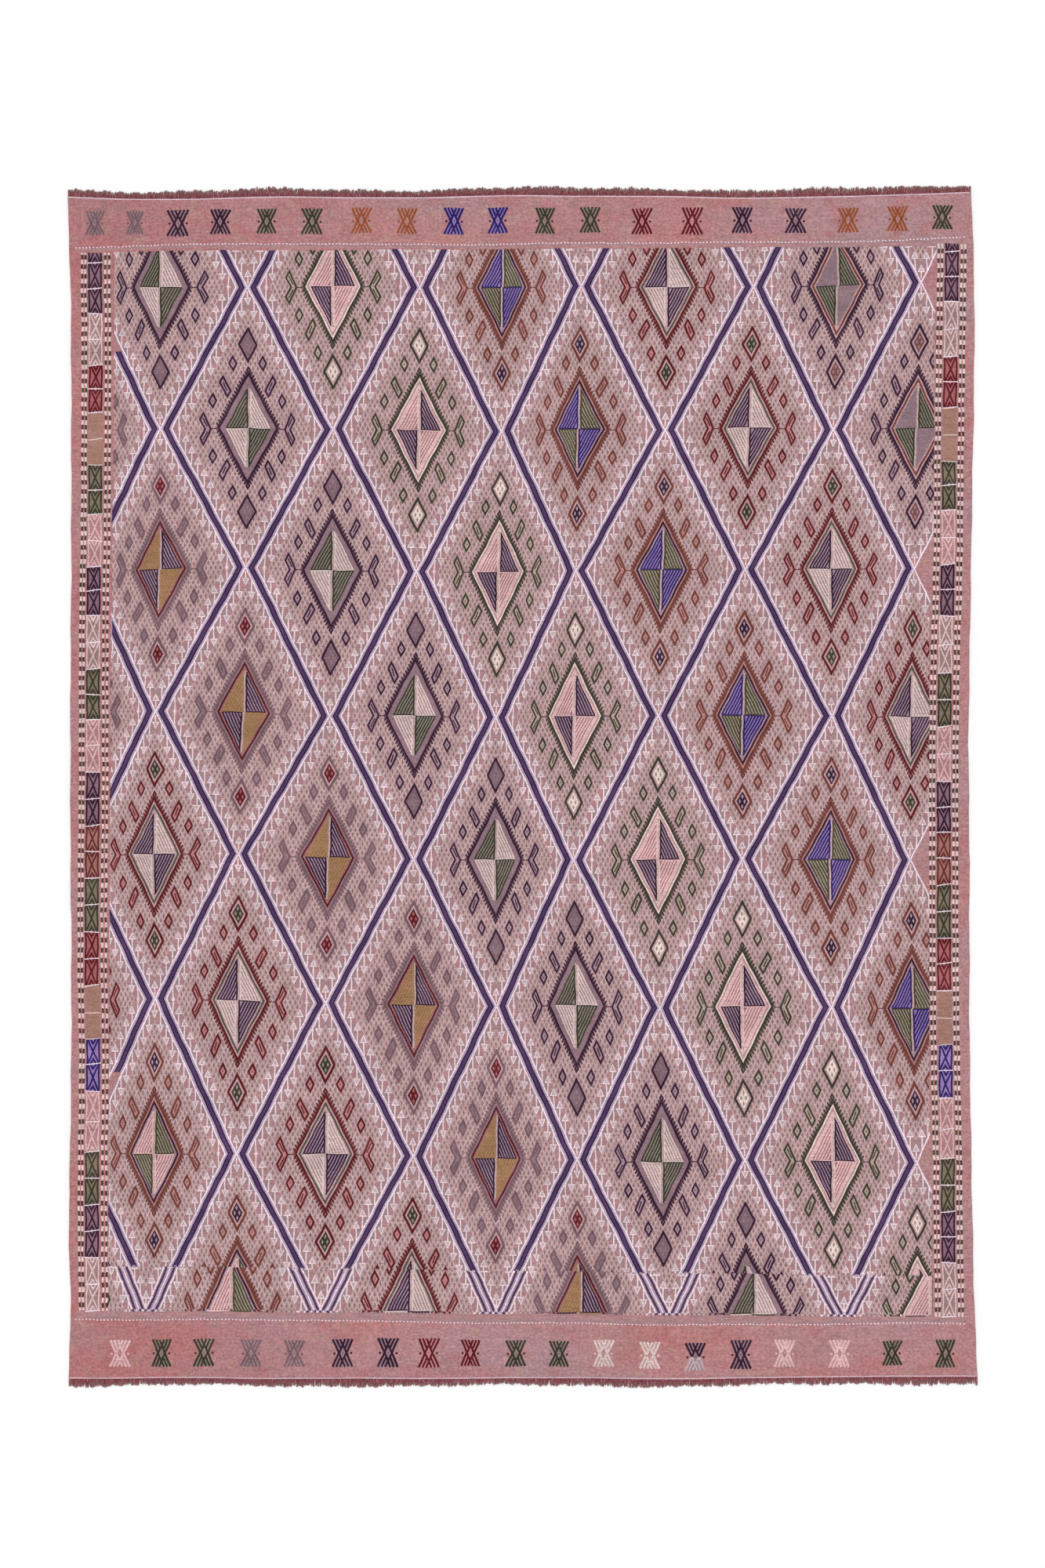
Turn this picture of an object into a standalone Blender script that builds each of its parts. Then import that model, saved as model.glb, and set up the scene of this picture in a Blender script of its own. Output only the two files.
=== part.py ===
"""Kilim rug: a flat-woven wool rug lying flat, with a short fringe of warp ends at each end.

Metres, +Z up. The length of the rug runs along Y and its width along X. It rests on Z = 0,
and the origin is the middle of its footprint, at the underside.

The pieces are the cloth, which has its woven end panels and selvedges in one with it, a row of
white twined yarn across each end, and the warp ends beyond it, cut short, as one fringe an end.
"""

import math
import random

import bpy
import numpy as np
from mathutils import Vector

# Thicknesses and gaps.
CLOTH_THICKNESS = 0.003
FRINGE_THICKNESS = 0.0024
EDGE_CHAMFER = 0.0005
PIECE_GAP = 0.0003

# The twined yarn row that closes each end of the cloth.
END_CORD_DIAMETER = 0.002
END_CORD_INSET = 0.0016
END_CORD_POINTS = 48

# The fringe: locks of warp ends that grow out of a narrow backing strip.
LOCKS_PER_END = 140
BACKING_WIDTH = 0.0035
LOCK_ROOT_SHARE = 0.84
LOCK_TIP_SHARE = (0.56, 0.74)
LOCK_LEAN_SHARE = 0.10
LOCK_LENGTH_SHARE = (0.86, 1.08)
LOCK_TIP_SLANT = 0.0012
FRINGE_SEED = 7

# How finely the woven edges are followed, and how much the selvedges wander between wefts.
END_STEPS = 70
SELVEDGE_STEPS = 90
SELVEDGE_RIPPLES = (
    # height, wavelength, phase
    (0.0009, 0.230, 0.4),
    (0.0006, 0.087, 1.9),
)

# The two long edges: place along the rug, left edge, right edge.
SELVEDGES = (
    (-1.507, -1.158, 1.162),
    (-1.363, -1.153, 1.155),
    (-1.123, -1.157, 1.149),
    (-0.883, -1.153, 1.145),
    (-0.643, -1.151, 1.141),
    (-0.403, -1.151, 1.141),
    (-0.163, -1.153, 1.141),
    (0.077, -1.153, 1.139),
    (0.317, -1.153, 1.141),
    (0.557, -1.151, 1.145),
    (0.797, -1.151, 1.149),
    (1.037, -1.151, 1.153),
    (1.277, -1.153, 1.153),
    (1.503, -1.161, 1.146),
)

# The two short ends: place across the rug, head cord, head fringe, foot cord, foot fringe. The
# cords are places along the rug, and the fringes are lengths from the cord to the trimmed tips.
ENDS = (
    (-1.160, 1.505, 0.016, -1.509, 0.021),
    (-1.043, 1.500, 0.020, -1.509, 0.023),
    (-0.843, 1.499, 0.019, -1.507, 0.025),
    (-0.643, 1.505, 0.020, -1.510, 0.020),
    (-0.443, 1.503, 0.022, -1.509, 0.021),
    (-0.243, 1.503, 0.017, -1.510, 0.022),
    (-0.043, 1.508, 0.016, -1.508, 0.018),
    (0.157, 1.507, 0.020, -1.508, 0.017),
    (0.357, 1.506, 0.023, -1.511, 0.013),
    (0.557, 1.502, 0.021, -1.508, 0.018),
    (0.757, 1.505, 0.018, -1.506, 0.020),
    (0.957, 1.510, 0.019, -1.504, 0.020),
    (1.160, 1.517, 0.016, -1.504, 0.020),
)

COLOURS = {
    # material: red, green, blue, roughness
    "rose_wool": (0.46, 0.19, 0.19, 0.95),
    "white_yarn": (0.80, 0.66, 0.62, 0.90),
    "wine_yarn": (0.22, 0.06, 0.07, 0.95),
}


def clear_scene():
    for thing in list(bpy.data.objects):
        bpy.data.objects.remove(thing, do_unlink=True)


def make_collection(name):
    collection = bpy.data.collections.new(name)
    bpy.context.scene.collection.children.link(collection)
    return collection


def make_material(name):
    red, green, blue, roughness = COLOURS[name]
    material = bpy.data.materials.new(name)
    material.use_nodes = True
    shader = material.node_tree.nodes["Principled BSDF"]
    shader.inputs["Base Color"].default_value = (red, green, blue, 1.0)
    shader.inputs["Roughness"].default_value = roughness
    shader.inputs["Metallic"].default_value = 0.0
    return material


def follow(table, index, place):
    """Read one column of a table at any place, on a cubic curve through its rows."""
    places = np.array([row[0] for row in table])
    values = np.array([row[index] for row in table])
    slopes = np.gradient(values, places)
    place = min(max(place, places[0]), places[-1])
    low = min(int(np.searchsorted(places, place, side="right")) - 1, len(places) - 2)
    span = places[low + 1] - places[low]
    part = (place - places[low]) / span
    rise = part * part * (3.0 - 2.0 * part)
    bend_low = part * (1.0 - part) ** 2
    bend_high = part * part * (part - 1.0)
    level = values[low] + (values[low + 1] - values[low]) * rise
    return level + span * (slopes[low] * bend_low + slopes[low + 1] * bend_high)


def selvedge(place, side):
    """The X of a long edge at a place along the rug: side is -1 on the left and +1 on the right."""
    ripple = sum(
        height * math.sin(2.0 * math.pi * place / wavelength + phase + side)
        for height, wavelength, phase in SELVEDGE_RIPPLES
    )
    return follow(SELVEDGES, 1 if side < 0 else 2, place) + ripple


def cord_line(across, end):
    """The Y of the twined row at a place across the rug: end is +1 at the head, -1 at the foot."""
    return follow(ENDS, 1 if end > 0 else 3, across)


def cloth_end(across, end):
    return cord_line(across, end) + end * END_CORD_INSET


def fringe_length(across, end):
    return follow(ENDS, 2 if end > 0 else 4, across)


def corner(side, end):
    """A corner of the cloth, where a long edge meets an end."""
    along = SELVEDGES[-1][0] if end > 0 else SELVEDGES[0][0]
    across = selvedge(along, side)
    return across, cloth_end(across, end)


def end_places(end):
    """Places across the rug, from its left corner to its right one, that the end's edge has."""
    return np.linspace(corner(-1, end)[0], corner(1, end)[0], END_STEPS + 1)


def cloth_outline():
    """The outline of the cloth, counter-clockwise from the foot's left corner."""
    foot = [(across, cloth_end(across, -1)) for across in end_places(-1)]
    head = [(across, cloth_end(across, 1)) for across in end_places(1)]
    outline = list(foot)
    for side, start, stop in ((1, foot[-1], head[-1]), (-1, head[0], foot[0])):
        if side < 0:
            outline.extend(reversed(head))
        for along in np.linspace(start[1], stop[1], SELVEDGE_STEPS + 1)[1:-1]:
            outline.append((selvedge(along, side), along))
    return outline


def fringe_outline(end):
    """A comb: its back follows the cloth's end, a gap away, and its teeth are the locks."""
    draw = random.Random(FRINGE_SEED + end)
    places = end_places(end)
    pitch = (places[-1] - places[0]) / LOCKS_PER_END
    root_half = pitch * LOCK_ROOT_SHARE / 2.0
    outline = []
    for lock in range(LOCKS_PER_END):
        middle = places[0] + pitch * (lock + 0.5)
        edge = cloth_end(middle, end)
        root = edge + end * (PIECE_GAP + BACKING_WIDTH)
        length = fringe_length(middle, end) * draw.uniform(*LOCK_LENGTH_SHARE) - END_CORD_INSET
        tip = edge + end * length
        tip_half = root_half * draw.uniform(*LOCK_TIP_SHARE) / LOCK_ROOT_SHARE
        lean = pitch * draw.uniform(-LOCK_LEAN_SHARE, LOCK_LEAN_SHARE)
        slant = draw.uniform(-LOCK_TIP_SLANT, LOCK_TIP_SLANT)
        outline.append((middle - root_half, root))
        outline.append((middle + lean - tip_half, tip - slant))
        outline.append((middle + lean + tip_half, tip + slant))
        outline.append((middle + root_half, root))
    back = [(across, cloth_end(across, end) + end * PIECE_GAP) for across in places]
    outline.extend(reversed(back))
    if end > 0:
        outline.reverse()
    return outline


def add_flat_piece(name, outline, thickness, material, collection):
    """A flat piece that lies on Z = 0, with its rim chamfered inside the outline."""
    curve = bpy.data.curves.new(name, "CURVE")
    curve.dimensions = "2D"
    curve.fill_mode = "BOTH"
    curve.extrude = thickness / 2.0
    spline = curve.splines.new("POLY")
    spline.points.add(len(outline) - 1)
    for point, (across, along) in zip(spline.points, outline):
        point.co = (across, along, 0.0, 1.0)
    spline.use_cyclic_u = True
    curve.materials.append(material)
    piece = bpy.data.objects.new(name, curve)
    piece.location.z = thickness / 2.0
    collection.objects.link(piece)
    return piece


def soften_rim(piece):
    """Round the rim of a flat piece a little, as woven edges are."""
    weld = piece.modifiers.new("weld", "WELD")
    weld.merge_threshold = 0.00005
    bevel = piece.modifiers.new("rim", "BEVEL")
    bevel.width = EDGE_CHAMFER
    bevel.segments = 1
    bevel.limit_method = "ANGLE"
    bevel.angle_limit = math.radians(60.0)


def add_end_cord(name, end, material, collection):
    """The white twined row across one end, a tube that lies on the cloth."""
    radius = END_CORD_DIAMETER / 2.0
    places = np.linspace(corner(-1, end)[0] + radius, corner(1, end)[0] - radius, END_CORD_POINTS)
    curve = bpy.data.curves.new(name, "CURVE")
    curve.dimensions = "3D"
    curve.bevel_depth = radius
    curve.bevel_resolution = 2
    curve.use_fill_caps = True
    spline = curve.splines.new("POLY")
    spline.points.add(len(places) - 1)
    for point, across in zip(spline.points, places):
        point.co = (across, cord_line(across, end), 0.0, 1.0)
    curve.materials.append(material)
    piece = bpy.data.objects.new(name, curve)
    piece.location.z = CLOTH_THICKNESS + PIECE_GAP + radius
    collection.objects.link(piece)
    return piece


def centre_on_origin(pieces):
    """Move all the pieces alike, so that the middle of the footprint is the origin."""
    bpy.context.view_layer.update()
    reach = [piece.matrix_world @ Vector(point) for piece in pieces for point in piece.bound_box]
    middle_x = (min(point.x for point in reach) + max(point.x for point in reach)) / 2.0
    middle_y = (min(point.y for point in reach) + max(point.y for point in reach)) / 2.0
    for piece in pieces:
        piece.location.x -= middle_x
        piece.location.y -= middle_y


def main():
    clear_scene()
    rug = make_collection("kilim_rug")
    rose = make_material("rose_wool")
    white = make_material("white_yarn")
    wine = make_material("wine_yarn")

    cloth = add_flat_piece("kilim_cloth", cloth_outline(), CLOTH_THICKNESS, rose, rug)
    soften_rim(cloth)
    pieces = [cloth]
    for label, end in (("head", 1), ("foot", -1)):
        comb = fringe_outline(end)
        pieces.append(add_flat_piece(f"fringe_{label}", comb, FRINGE_THICKNESS, wine, rug))
        pieces.append(add_end_cord(f"end_cord_{label}", end, white, rug))
    centre_on_origin(pieces)


main()
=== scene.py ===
"""Looks of the kilim rug: its cloth, the brocade on it, the end cords and the fringe.

The pattern is worked out in millimetres on the flat rug, X across it to the right and Y along it
to its head end. Each yarn is then laid on the cloth's surface and made in metres, +Z up, in the
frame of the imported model.
"""

import itertools
import math

import bpy
import numpy as np
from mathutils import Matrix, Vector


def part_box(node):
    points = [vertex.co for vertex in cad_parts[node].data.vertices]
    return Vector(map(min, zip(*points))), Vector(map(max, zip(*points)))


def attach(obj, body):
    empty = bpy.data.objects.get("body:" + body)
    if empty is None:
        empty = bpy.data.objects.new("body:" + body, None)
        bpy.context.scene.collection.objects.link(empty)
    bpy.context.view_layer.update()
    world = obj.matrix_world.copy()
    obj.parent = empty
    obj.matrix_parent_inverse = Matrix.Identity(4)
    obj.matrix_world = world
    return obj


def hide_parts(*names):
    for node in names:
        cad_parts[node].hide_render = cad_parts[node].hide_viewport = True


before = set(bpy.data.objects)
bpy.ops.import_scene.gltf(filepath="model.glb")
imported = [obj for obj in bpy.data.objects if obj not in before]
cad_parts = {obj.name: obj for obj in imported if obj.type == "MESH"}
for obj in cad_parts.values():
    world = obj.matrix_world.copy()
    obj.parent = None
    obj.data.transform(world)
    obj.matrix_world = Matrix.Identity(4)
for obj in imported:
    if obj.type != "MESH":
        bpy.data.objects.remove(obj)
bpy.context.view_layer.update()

MM = 0.001

# The cloth: its thickness, the rounding of its rim, and the mesh that carries it.
CLOTH_THICKNESS = 3.0
RIM_RADIUS = 1.5
CLOTH_STEP = 20.0
RIM_STEPS = (0.0, 0.25, 0.8, 1.6, 3.0, 5.0, 7.0, 9.0, 12.0)
SELVEDGE_RIB = 0.25
SELVEDGE_RIB_START = 2.0
SELVEDGE_RIB_PITCH = 4.0

# How the cloth lies: low swells all over it, and a ripple that dies out away from its ends.
SWELLS = (
    # height, turns across per metre, turns along per metre, phase
    (0.42, 1.55, 1.05, 0.3),
    (0.36, -2.45, 1.85, 1.7),
    (0.24, 0.65, 3.05, 4.1),
    (0.14, 4.10, -2.60, 2.6),
)
SWELL_FLOOR = 1.2
END_RIPPLE = 0.55
END_RIPPLE_TURNS = 5.3
END_RIPPLE_REACH = 120.0

# Small drifts of the weft and the warp, which hand weaving leaves.
HAND_DRIFTS = (
    # 0 for a drift across and 1 for one along, its height, and its spread across and along
    (0, 0.7, 61.0, 9.3),
    (0, 0.5, math.inf, 23.0),
    (1, 0.6, 11.7, 83.0),
    (1, 0.9, 71.0, math.inf),
)

# How the CAD cloth's edges are read: how far in from its farthest spot an edge may run, and how
# near each other spots share a place. Then how far along the rug its corners are looked up.
EDGE_REACH = 25.0
EDGE_MATCH = 2.0
END_CORNERS_AT = 1500.0

# The diamond lattice. A place in it is (column, row), and those whose sum is odd are the middles
# of diamonds. Half a diamond is one column wide and one row long.
COLUMN_PITCH = 214.0
ROW_PITCH = 366.0
LAST_COLUMN = 10
LATTICE_ACROSS = (
    # places across of columns 0 to 10, row by row from the head
    (-1123, -926, -701, -484, -262, -51, 150, 370, 590, 805, 1018),
    (-1114, -925, -699, -484, -264, -54, 142, 364, 578, 793, 1005),
    (-1126, -925, -706, -485, -270, -61, 137, 356, 569, 787, 1000),
    (-1137, -937, -711, -492, -275, -68, 131, 346, 562, 789, 990),
    (-1139, -941, -725, -495, -278, -69, 130, 346, 561, 786, 990),
    (-1139, -938, -726, -503, -276, -67, 137, 350, 560, 788, 995),
    (-1139, -941, -730, -502, -279, -67, 139, 357, 567, 793, 1006),
    (-1137, -939, -727, -505, -283, -69, 141, 361, 573, 795, 1009),
)
LATTICE_ALONG = (
    # places along of columns 0 to 10, row by row from the head
    (1275, 1276, 1274, 1279, 1274, 1275, 1277, 1276, 1275, 1280, 1286),
    (913, 914, 915, 913, 910, 908, 913, 912, 917, 913, 915),
    (553, 556, 560, 553, 549, 549, 551, 556, 555, 558, 557),
    (193, 194, 191, 182, 182, 178, 180, 183, 182, 182, 178),
    (-172, -170, -171, -179, -185, -184, -187, -184, -185, -184, -187),
    (-540, -540, -545, -551, -557, -559, -557, -563, -560, -561, -567),
    (-931, -936, -937, -935, -943, -947, -952, -957, -953, -953, -960),
    (-1299, -1302, -1306, -1310, -1314, -1317, -1322, -1325, -1329, -1332, -1337),
)

# The field that the lattice fills, and the weft where its lowest part is broken: below it the
# pattern starts again, a little farther down, drawn out along the rug and moved across it.
FIELD_TOP = ((-1043.0, 1366.5), (967.0, 1378.5))
FIELD_BOTTOM = ((-933.0, -1337.5), (667.0, -1349.5))
FIELD_SIDES = (
    # place along, left edge, right edge
    (1368.0, -1041.0, 1056.0),
    (912.0, -1043.0, 1050.0),
    (184.0, -1051.0, 1038.0),
    (-566.0, -1054.0, 1038.0),
    (-958.0, -1056.0, 1044.0),
    (-1352.0, -1058.0, 1046.0),
)
BREAK = ((-953.0, -1223.0), (890.0, -1246.0))
BREAK_DROPS = (
    # place across, how far the pattern sinks there under the break
    (-703.0, 21.0),
    (-517.0, 15.5),
    (-279.0, 14.0),
)
BREAK_STRETCH = (
    # place across, how far the pattern is drawn out there
    (-939.0, 1.175),
    (573.0, 1.03),
)
BREAK_STILL_AT = -153.0
BREAK_DRIFT = 0.0275
BREAK_FLOATS = (
    # yarn, half length, width, and where it lies: 1 over the break and -1 under it
    ("lavender", 3.74, 4.4, 1.0),
    ("cream", 8.5, 3.4, -1.0),
)
BREAK_FLOAT_AT = 1.5
BREAK_SEARCH_STEP = 2.0
FOOT_WEFTS = 5.5
FOOT_SHIFT = -7.0

# Zigzag bands between the diamonds.
BAND_OFFSET = 14.5
EDGE_BAND_GAPS = ((1111.0, 1281.0), (-938.0, -726.0))
BAND_CORE = 12.0
BAND_EDGE = 4.4
BAND_EDGE_AT = 5.6
BAND_LINE = 4.3
BAND_LINE_AT = 14.3
BAND_HALO = 28.0
BAND_TWIST_PITCH = 6.2
BAND_TWIST = (4.4, 1.3)
BAND_TWIST_LEAN = 0.6
BROKEN_STRIPE = 6.4
BROKEN_STRIPE_AT = 9.4
BROKEN_LINE_AT = 17.3
BROKEN_HALO = 30.0
BROKEN_MIDDLE = 3.8

# Arrows along the inner sides of each diamond.
ARROW_STEP = 15.2
ARROWS_A_SIDE = 10
STEM_WIDTH = 3.8
STEM_LENGTH = 32.0
HEAD_HALF = 7.6
HEAD_LENGTH = 16.0
HEAD_LINE = 3.3
HEAD_HALO = 9.0
HEAD_FILL = (0.04, 0.8, 0.85)
AXIS_STEM = (10.0, 28.0)
STAR_INSET = 18.0
STAR_HALF = 9.5
STAR_RAY = 4.2
STAR_TURNS = (0.0, 0.9, -0.9)
SHADE_WIDTH = 8.0
SHADE_AT = 5.6
SHADE_INSET = 3.0

# A faded patch by each arrow: how far beside its stem and below its start, and its half sizes.
TIP_PATCH = (6.5, 56.0, 5.6, 13.0)

# The fine net between the arrows and the motifs.
NET_INSET = 55.0
NET_LINES = 13
NET_STITCH = 3.1
NET_OVERLAP = 0.04
NET_DOT = (2.6, 4.4)
GROUND_STEPS = 16
FIELD_GROUND_INSET = (8.0, 14.0)

# The medallion in the middle of each diamond, as half widths and half lengths.
COMB_HALF = (72.0, 142.0)
COMB_LINE = 5.2
COMB_TEETH = 17
TOOTH = (7.2, 10.2)
TOOTH_WIDTH = 4.4
TOOTH_START = 0.4
KNOB_AT = 151.0
KNOB_HALF = (4.6, 8.0)
KNOB_LINE = 4.0
PLATE_HALF = (69.0, 135.0)
RING_HALF = (63.0, 122.5)
RING_LINE = 6.2
PALE_RING_HALF = (58.0, 112.0)
PALE_RING_LINE = 3.4
QUARTER_HALF = (56.0, 107.0)
STRIPES = 6
STRIPE_PITCH = 7.5
DARK_STRIPE = 5.0
LIGHT_STRIPE = 5.4
STRIPE_INSET = 0.55
STRIPE_ENDS = (0.8, 0.6)
AXIS_GAP = 2.6
AXIS_BAR = 5.0
AXIS_BAR_REACH = 0.9
WAIST_BAR = 3.2
WAIST_BAR_REACH = 0.95
BAR_INSET = 0.4
PINWHEEL = 1.6
PALE_AXIS = (104.0, 2.0)
PALE_AXIS_LINE = 5.2

# The small motifs round it. End diamonds: distance from the middle, half width and half length.
# Their lozenges: how far across and along from the end diamond's middle, and half sizes.
END_DIAMOND = (218.0, 22.0, 42.0)
END_DIAMOND_LINE = 6.6
END_DIAMOND_GROUND = 0.82
END_DIAMOND_FILL = (14.0, 26.0)
END_LOZENGES = (6.0, 12.6, 2.9, 6.4)
SMALL_DIAMONDS = ((37.0, 169.0), (85.5, 72.0))
SMALL_DIAMOND_HALF = (8.9, 17.0)
LEAF = ((61.0, 134.9), (68.9, 120.0), (51.4, 83.4), (43.5, 98.3))
LEAF_VEIN = ((60.2, 119.4), (52.7, 99.4))
CHEVRON = ((92.0, 0.0), (109.0, 41.0), (117.0, 24.0), (105.0, 0.0), (117.0, -24.0), (109.0, -41.0))
CHEVRON_VEIN = ((100.0, 7.0), (110.5, 29.0))
CHEVRON_LINK = (77.0, 91.0)
CHEVRON_LINK_WIDTH = 2.7
MOTIF_DROP = 1.2
MOTIF_LINE = 5.5
VEIN_LINE = 3.8
MOTIF_DOT = (1.8, 2.4)
MOTIF_HALO = 13.0
COMB_HALO = 23.0

# Where the net stays clear of the motifs: start, end and reach of each.
CLEAR_SPOTS = (
    ((60.0, 125.0), (50.0, 101.0), 14.0),
    ((97.0, 4.0), (110.0, 34.0), 12.0),
)
CLEAR_DIAMONDS = (
    # middle across, middle along, half width, half length
    (0.0, 0.0, 83.0, 162.0),
    (0.0, 218.0, 26.5, 51.0),
    (37.0, 169.0, 12.5, 25.0),
    (85.5, 72.0, 12.5, 25.0),
)

# Colours of the diamonds, which run in diagonals: column less row gives the scheme.
SCHEME_CYCLE = 10
SCHEMES = {
    # scheme: comb, plate, ring, pale ring, quarters a, quarters b, motifs, fill, dots
    -5: ("rust", "inside_rust", "purple", "lilac", "pink", "sage", "rust", "purple", "lilac"),
    -1: ("fawn", "haze", "red", "clay", "gold", "purple", "fawn", "red", "brick"),
    1: ("purple", "dusk", "haze", "dusk", "green", "cream", "purple", "dim_mauve", "dusk"),
    3: ("green", "ivory", "dim_pink", "pink", "pink", "purple", "green", "ivory", "taupe"),
    5: ("rust", "inside_rust", "purple", "lilac", "blue", "sage", "rust", "purple", "lilac"),
    7: ("red", "blush", "moss", "blush", "purple", "cream", "red", "green", "taupe"),
    9: ("purple", "blush", "rust", "blush", "mauve", "green", "purple", "russet", "rosewood"),
}
EDGE_SCHEMES = {
    # column and row of a part diamond at the left edge: its scheme, out of turn
    (0, 3): -1,
    (0, 5): -3,
}
LIGHT_YARNS = ("cream", "pink", "gold")
BETWEEN_STRIPES = {
    # stripes: what shows between them
    "purple": "heather",
    "green": "olive",
    "sage": "pale_sage",
    "blue": "violet",
    "cream": "rosewood",
    "pink": "old_rose",
    "gold": "sand",
    "mauve": "haze",
}

MOTIF_GROUNDS = {
    # outline: inside the motifs, round them, round the comb
    "purple": ("dusty_lilac", "halo_lilac", "comb_lilac"),
    "green": ("inside_green", "halo_green", "comb_green"),
    "fawn": ("haze", "haze", "haze"),
    "rust": ("inside_rust", "halo_rust", "comb_rust"),
    "red": ("inside_red", "halo_rust", "comb_rust"),
}

# The two checked columns along the selvedges.
BLOCKS = (
    # colour, then the tops of its two blocks on the left, and on the right
    ("purple", 1338.0, 1272.0, 1366.0, 1302.0),
    ("cream", 1208.0, 1142.0, 1238.0, 1168.0),
    ("red", 1076.0, 1016.0, 1098.0, 1034.0),
    ("brown", 956.0, 888.0, 968.0, 898.0),
    ("green", 822.0, 758.0, 830.0, 770.0),
    ("pink", 696.0, 628.0, 706.0, 636.0),
    ("purple", 562.0, 502.0, 568.0, 504.0),
    ("cream", 438.0, 370.0, 436.0, 362.0),
    ("green", 302.0, 236.0, 290.0, 222.0),
    ("pink", 172.0, 106.0, 154.0, 84.0),
    ("purple", 38.0, -30.0, 14.0, -52.0),
    ("rust", -98.0, -164.0, -116.0, -182.0),
    ("green", -232.0, -300.0, -250.0, -318.0),
    ("red", -370.0, -438.0, -386.0, -450.0),
    ("brown", -506.0, -576.0, -520.0, -590.0),
    ("blue", -642.0, -706.0, -658.0, -724.0),
    ("pink", -776.0, -854.0, -794.0, -874.0),
    ("green", -930.0, -998.0, -948.0, -1016.0),
    ("purple", -1066.0, -1132.0, -1084.0, -1148.0),
    ("cream", -1200.0, -1268.0, -1214.0, -1282.0),
)
BLOCK_ENDS = ((1363.0, -1336.0), (1386.0, -1352.0))
BLOCK_YARNS = {
    # block: its lines, its ground
    "purple": ("purple", "plum"),
    "cream": ("net_cream", "fawn_rose"),
    "red": ("red", "brick"),
    "brown": ("brown", "brown"),
    "green": ("green", "khaki"),
    "pink": ("pink", "dim_rose"),
    "rust": ("maroon", "clay"),
    "blue": ("blue", "violet"),
}
BLOCK_HALF = 18.0
BLOCK_BAR = 5.6
BLOCK_BAR_SHARE = 0.7
BLOCK_X = 5.6
BLOCK_CHEVRON = (7.4, 12.4)
BLOCK_CHEVRON_LINE = 6.4
LIGHT_BLOCK_LINES = 0.8
PART_BLOCK_LENGTH = 66.6
PARTING_WIDTH = 3.6
PARTING_OVERHANG = 1.0
PARTING_SLANT = (1.2, 1.6, 2.1)
COLUMN_MIDDLES = (
    # place along, left column, right column
    (1388.0, -1092.0, 1096.0),
    (1127.0, -1089.0, 1093.0),
    (807.0, -1090.0, 1088.0),
    (647.0, -1091.0, 1087.0),
    (487.0, -1095.0, 1084.0),
    (327.0, -1096.0, 1078.0),
    (7.0, -1096.0, 1075.0),
    (-313.0, -1099.5, 1075.0),
    (-473.0, -1099.5, 1076.0),
    (-633.0, -1096.0, 1078.0),
    (-793.0, -1096.0, 1081.0),
    (-953.0, -1098.5, 1085.0),
    (-1113.0, -1099.0, 1086.0),
    (-1352.0, -1096.0, 1090.0),
)
CHAINS = (
    # distance of each chain from the middle of its column: left column, right column
    (-32.8, -34.0),
    (-24.5, -25.0),
    (26.3, 25.0),
    (36.3, 34.0),
)
CHAIN_WIDTH = 6.2
CHECK_PLACES = (
    # number of a dark check from the head, and its place along: left column, right column
    (-1.0, 1375.0, 1391.0),
    (0.0, 1351.0, 1366.0),
    (10.0, 1107.0, 1122.0),
    (20.0, 871.0, 876.0),
    (30.0, 635.0, 642.0),
    (40.0, 397.0, 395.0),
    (50.0, 157.0, 138.0),
    (60.0, -88.0, -108.0),
    (70.0, -338.0, -355.0),
    (80.0, -597.0, -602.0),
    (90.0, -854.0, -857.0),
    (100.0, -1114.0, -1112.0),
    (110.0, -1374.0, -1358.0),
)
CHECK_SHARES = (0.46, 0.5)
CHECK_SWAY = 0.4
DARK_CHECKS = ("dark_check", "dark_check", "dark_check", "wine_check", "moss_check")

# The end panels: their hourglasses, and the dotted rows between them and the field.
HEAD_HOURGLASSES = (
    # place across, place along, width, length, colour
    (-1091.0, 1439.0, 50.0, 60.0, "haze_dark"),
    (-989.0, 1440.0, 45.0, 58.0, "haze_dark"),
    (-879.0, 1438.0, 58.0, 66.0, "purple"),
    (-771.0, 1441.0, 54.0, 62.0, "purple"),
    (-653.0, 1444.0, 52.0, 62.0, "green"),
    (-537.0, 1444.0, 56.0, 64.0, "green"),
    (-411.0, 1445.0, 54.0, 64.0, "orange"),
    (-295.0, 1443.0, 54.0, 64.0, "orange"),
    (-175.0, 1444.0, 52.0, 67.0, "blue"),
    (-63.0, 1446.0, 52.0, 65.0, "blue"),
    (57.0, 1444.0, 51.0, 65.0, "green"),
    (173.0, 1446.0, 54.0, 64.0, "green"),
    (305.0, 1444.0, 54.0, 65.0, "red"),
    (433.0, 1444.0, 57.0, 68.0, "red"),
    (561.0, 1445.0, 54.0, 65.0, "purple"),
    (697.0, 1445.0, 56.0, 62.0, "purple"),
    (831.0, 1447.0, 56.0, 62.0, "orange"),
    (957.0, 1449.0, 54.0, 62.0, "orange"),
    (1071.0, 1453.0, 53.0, 60.0, "green"),
)
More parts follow.
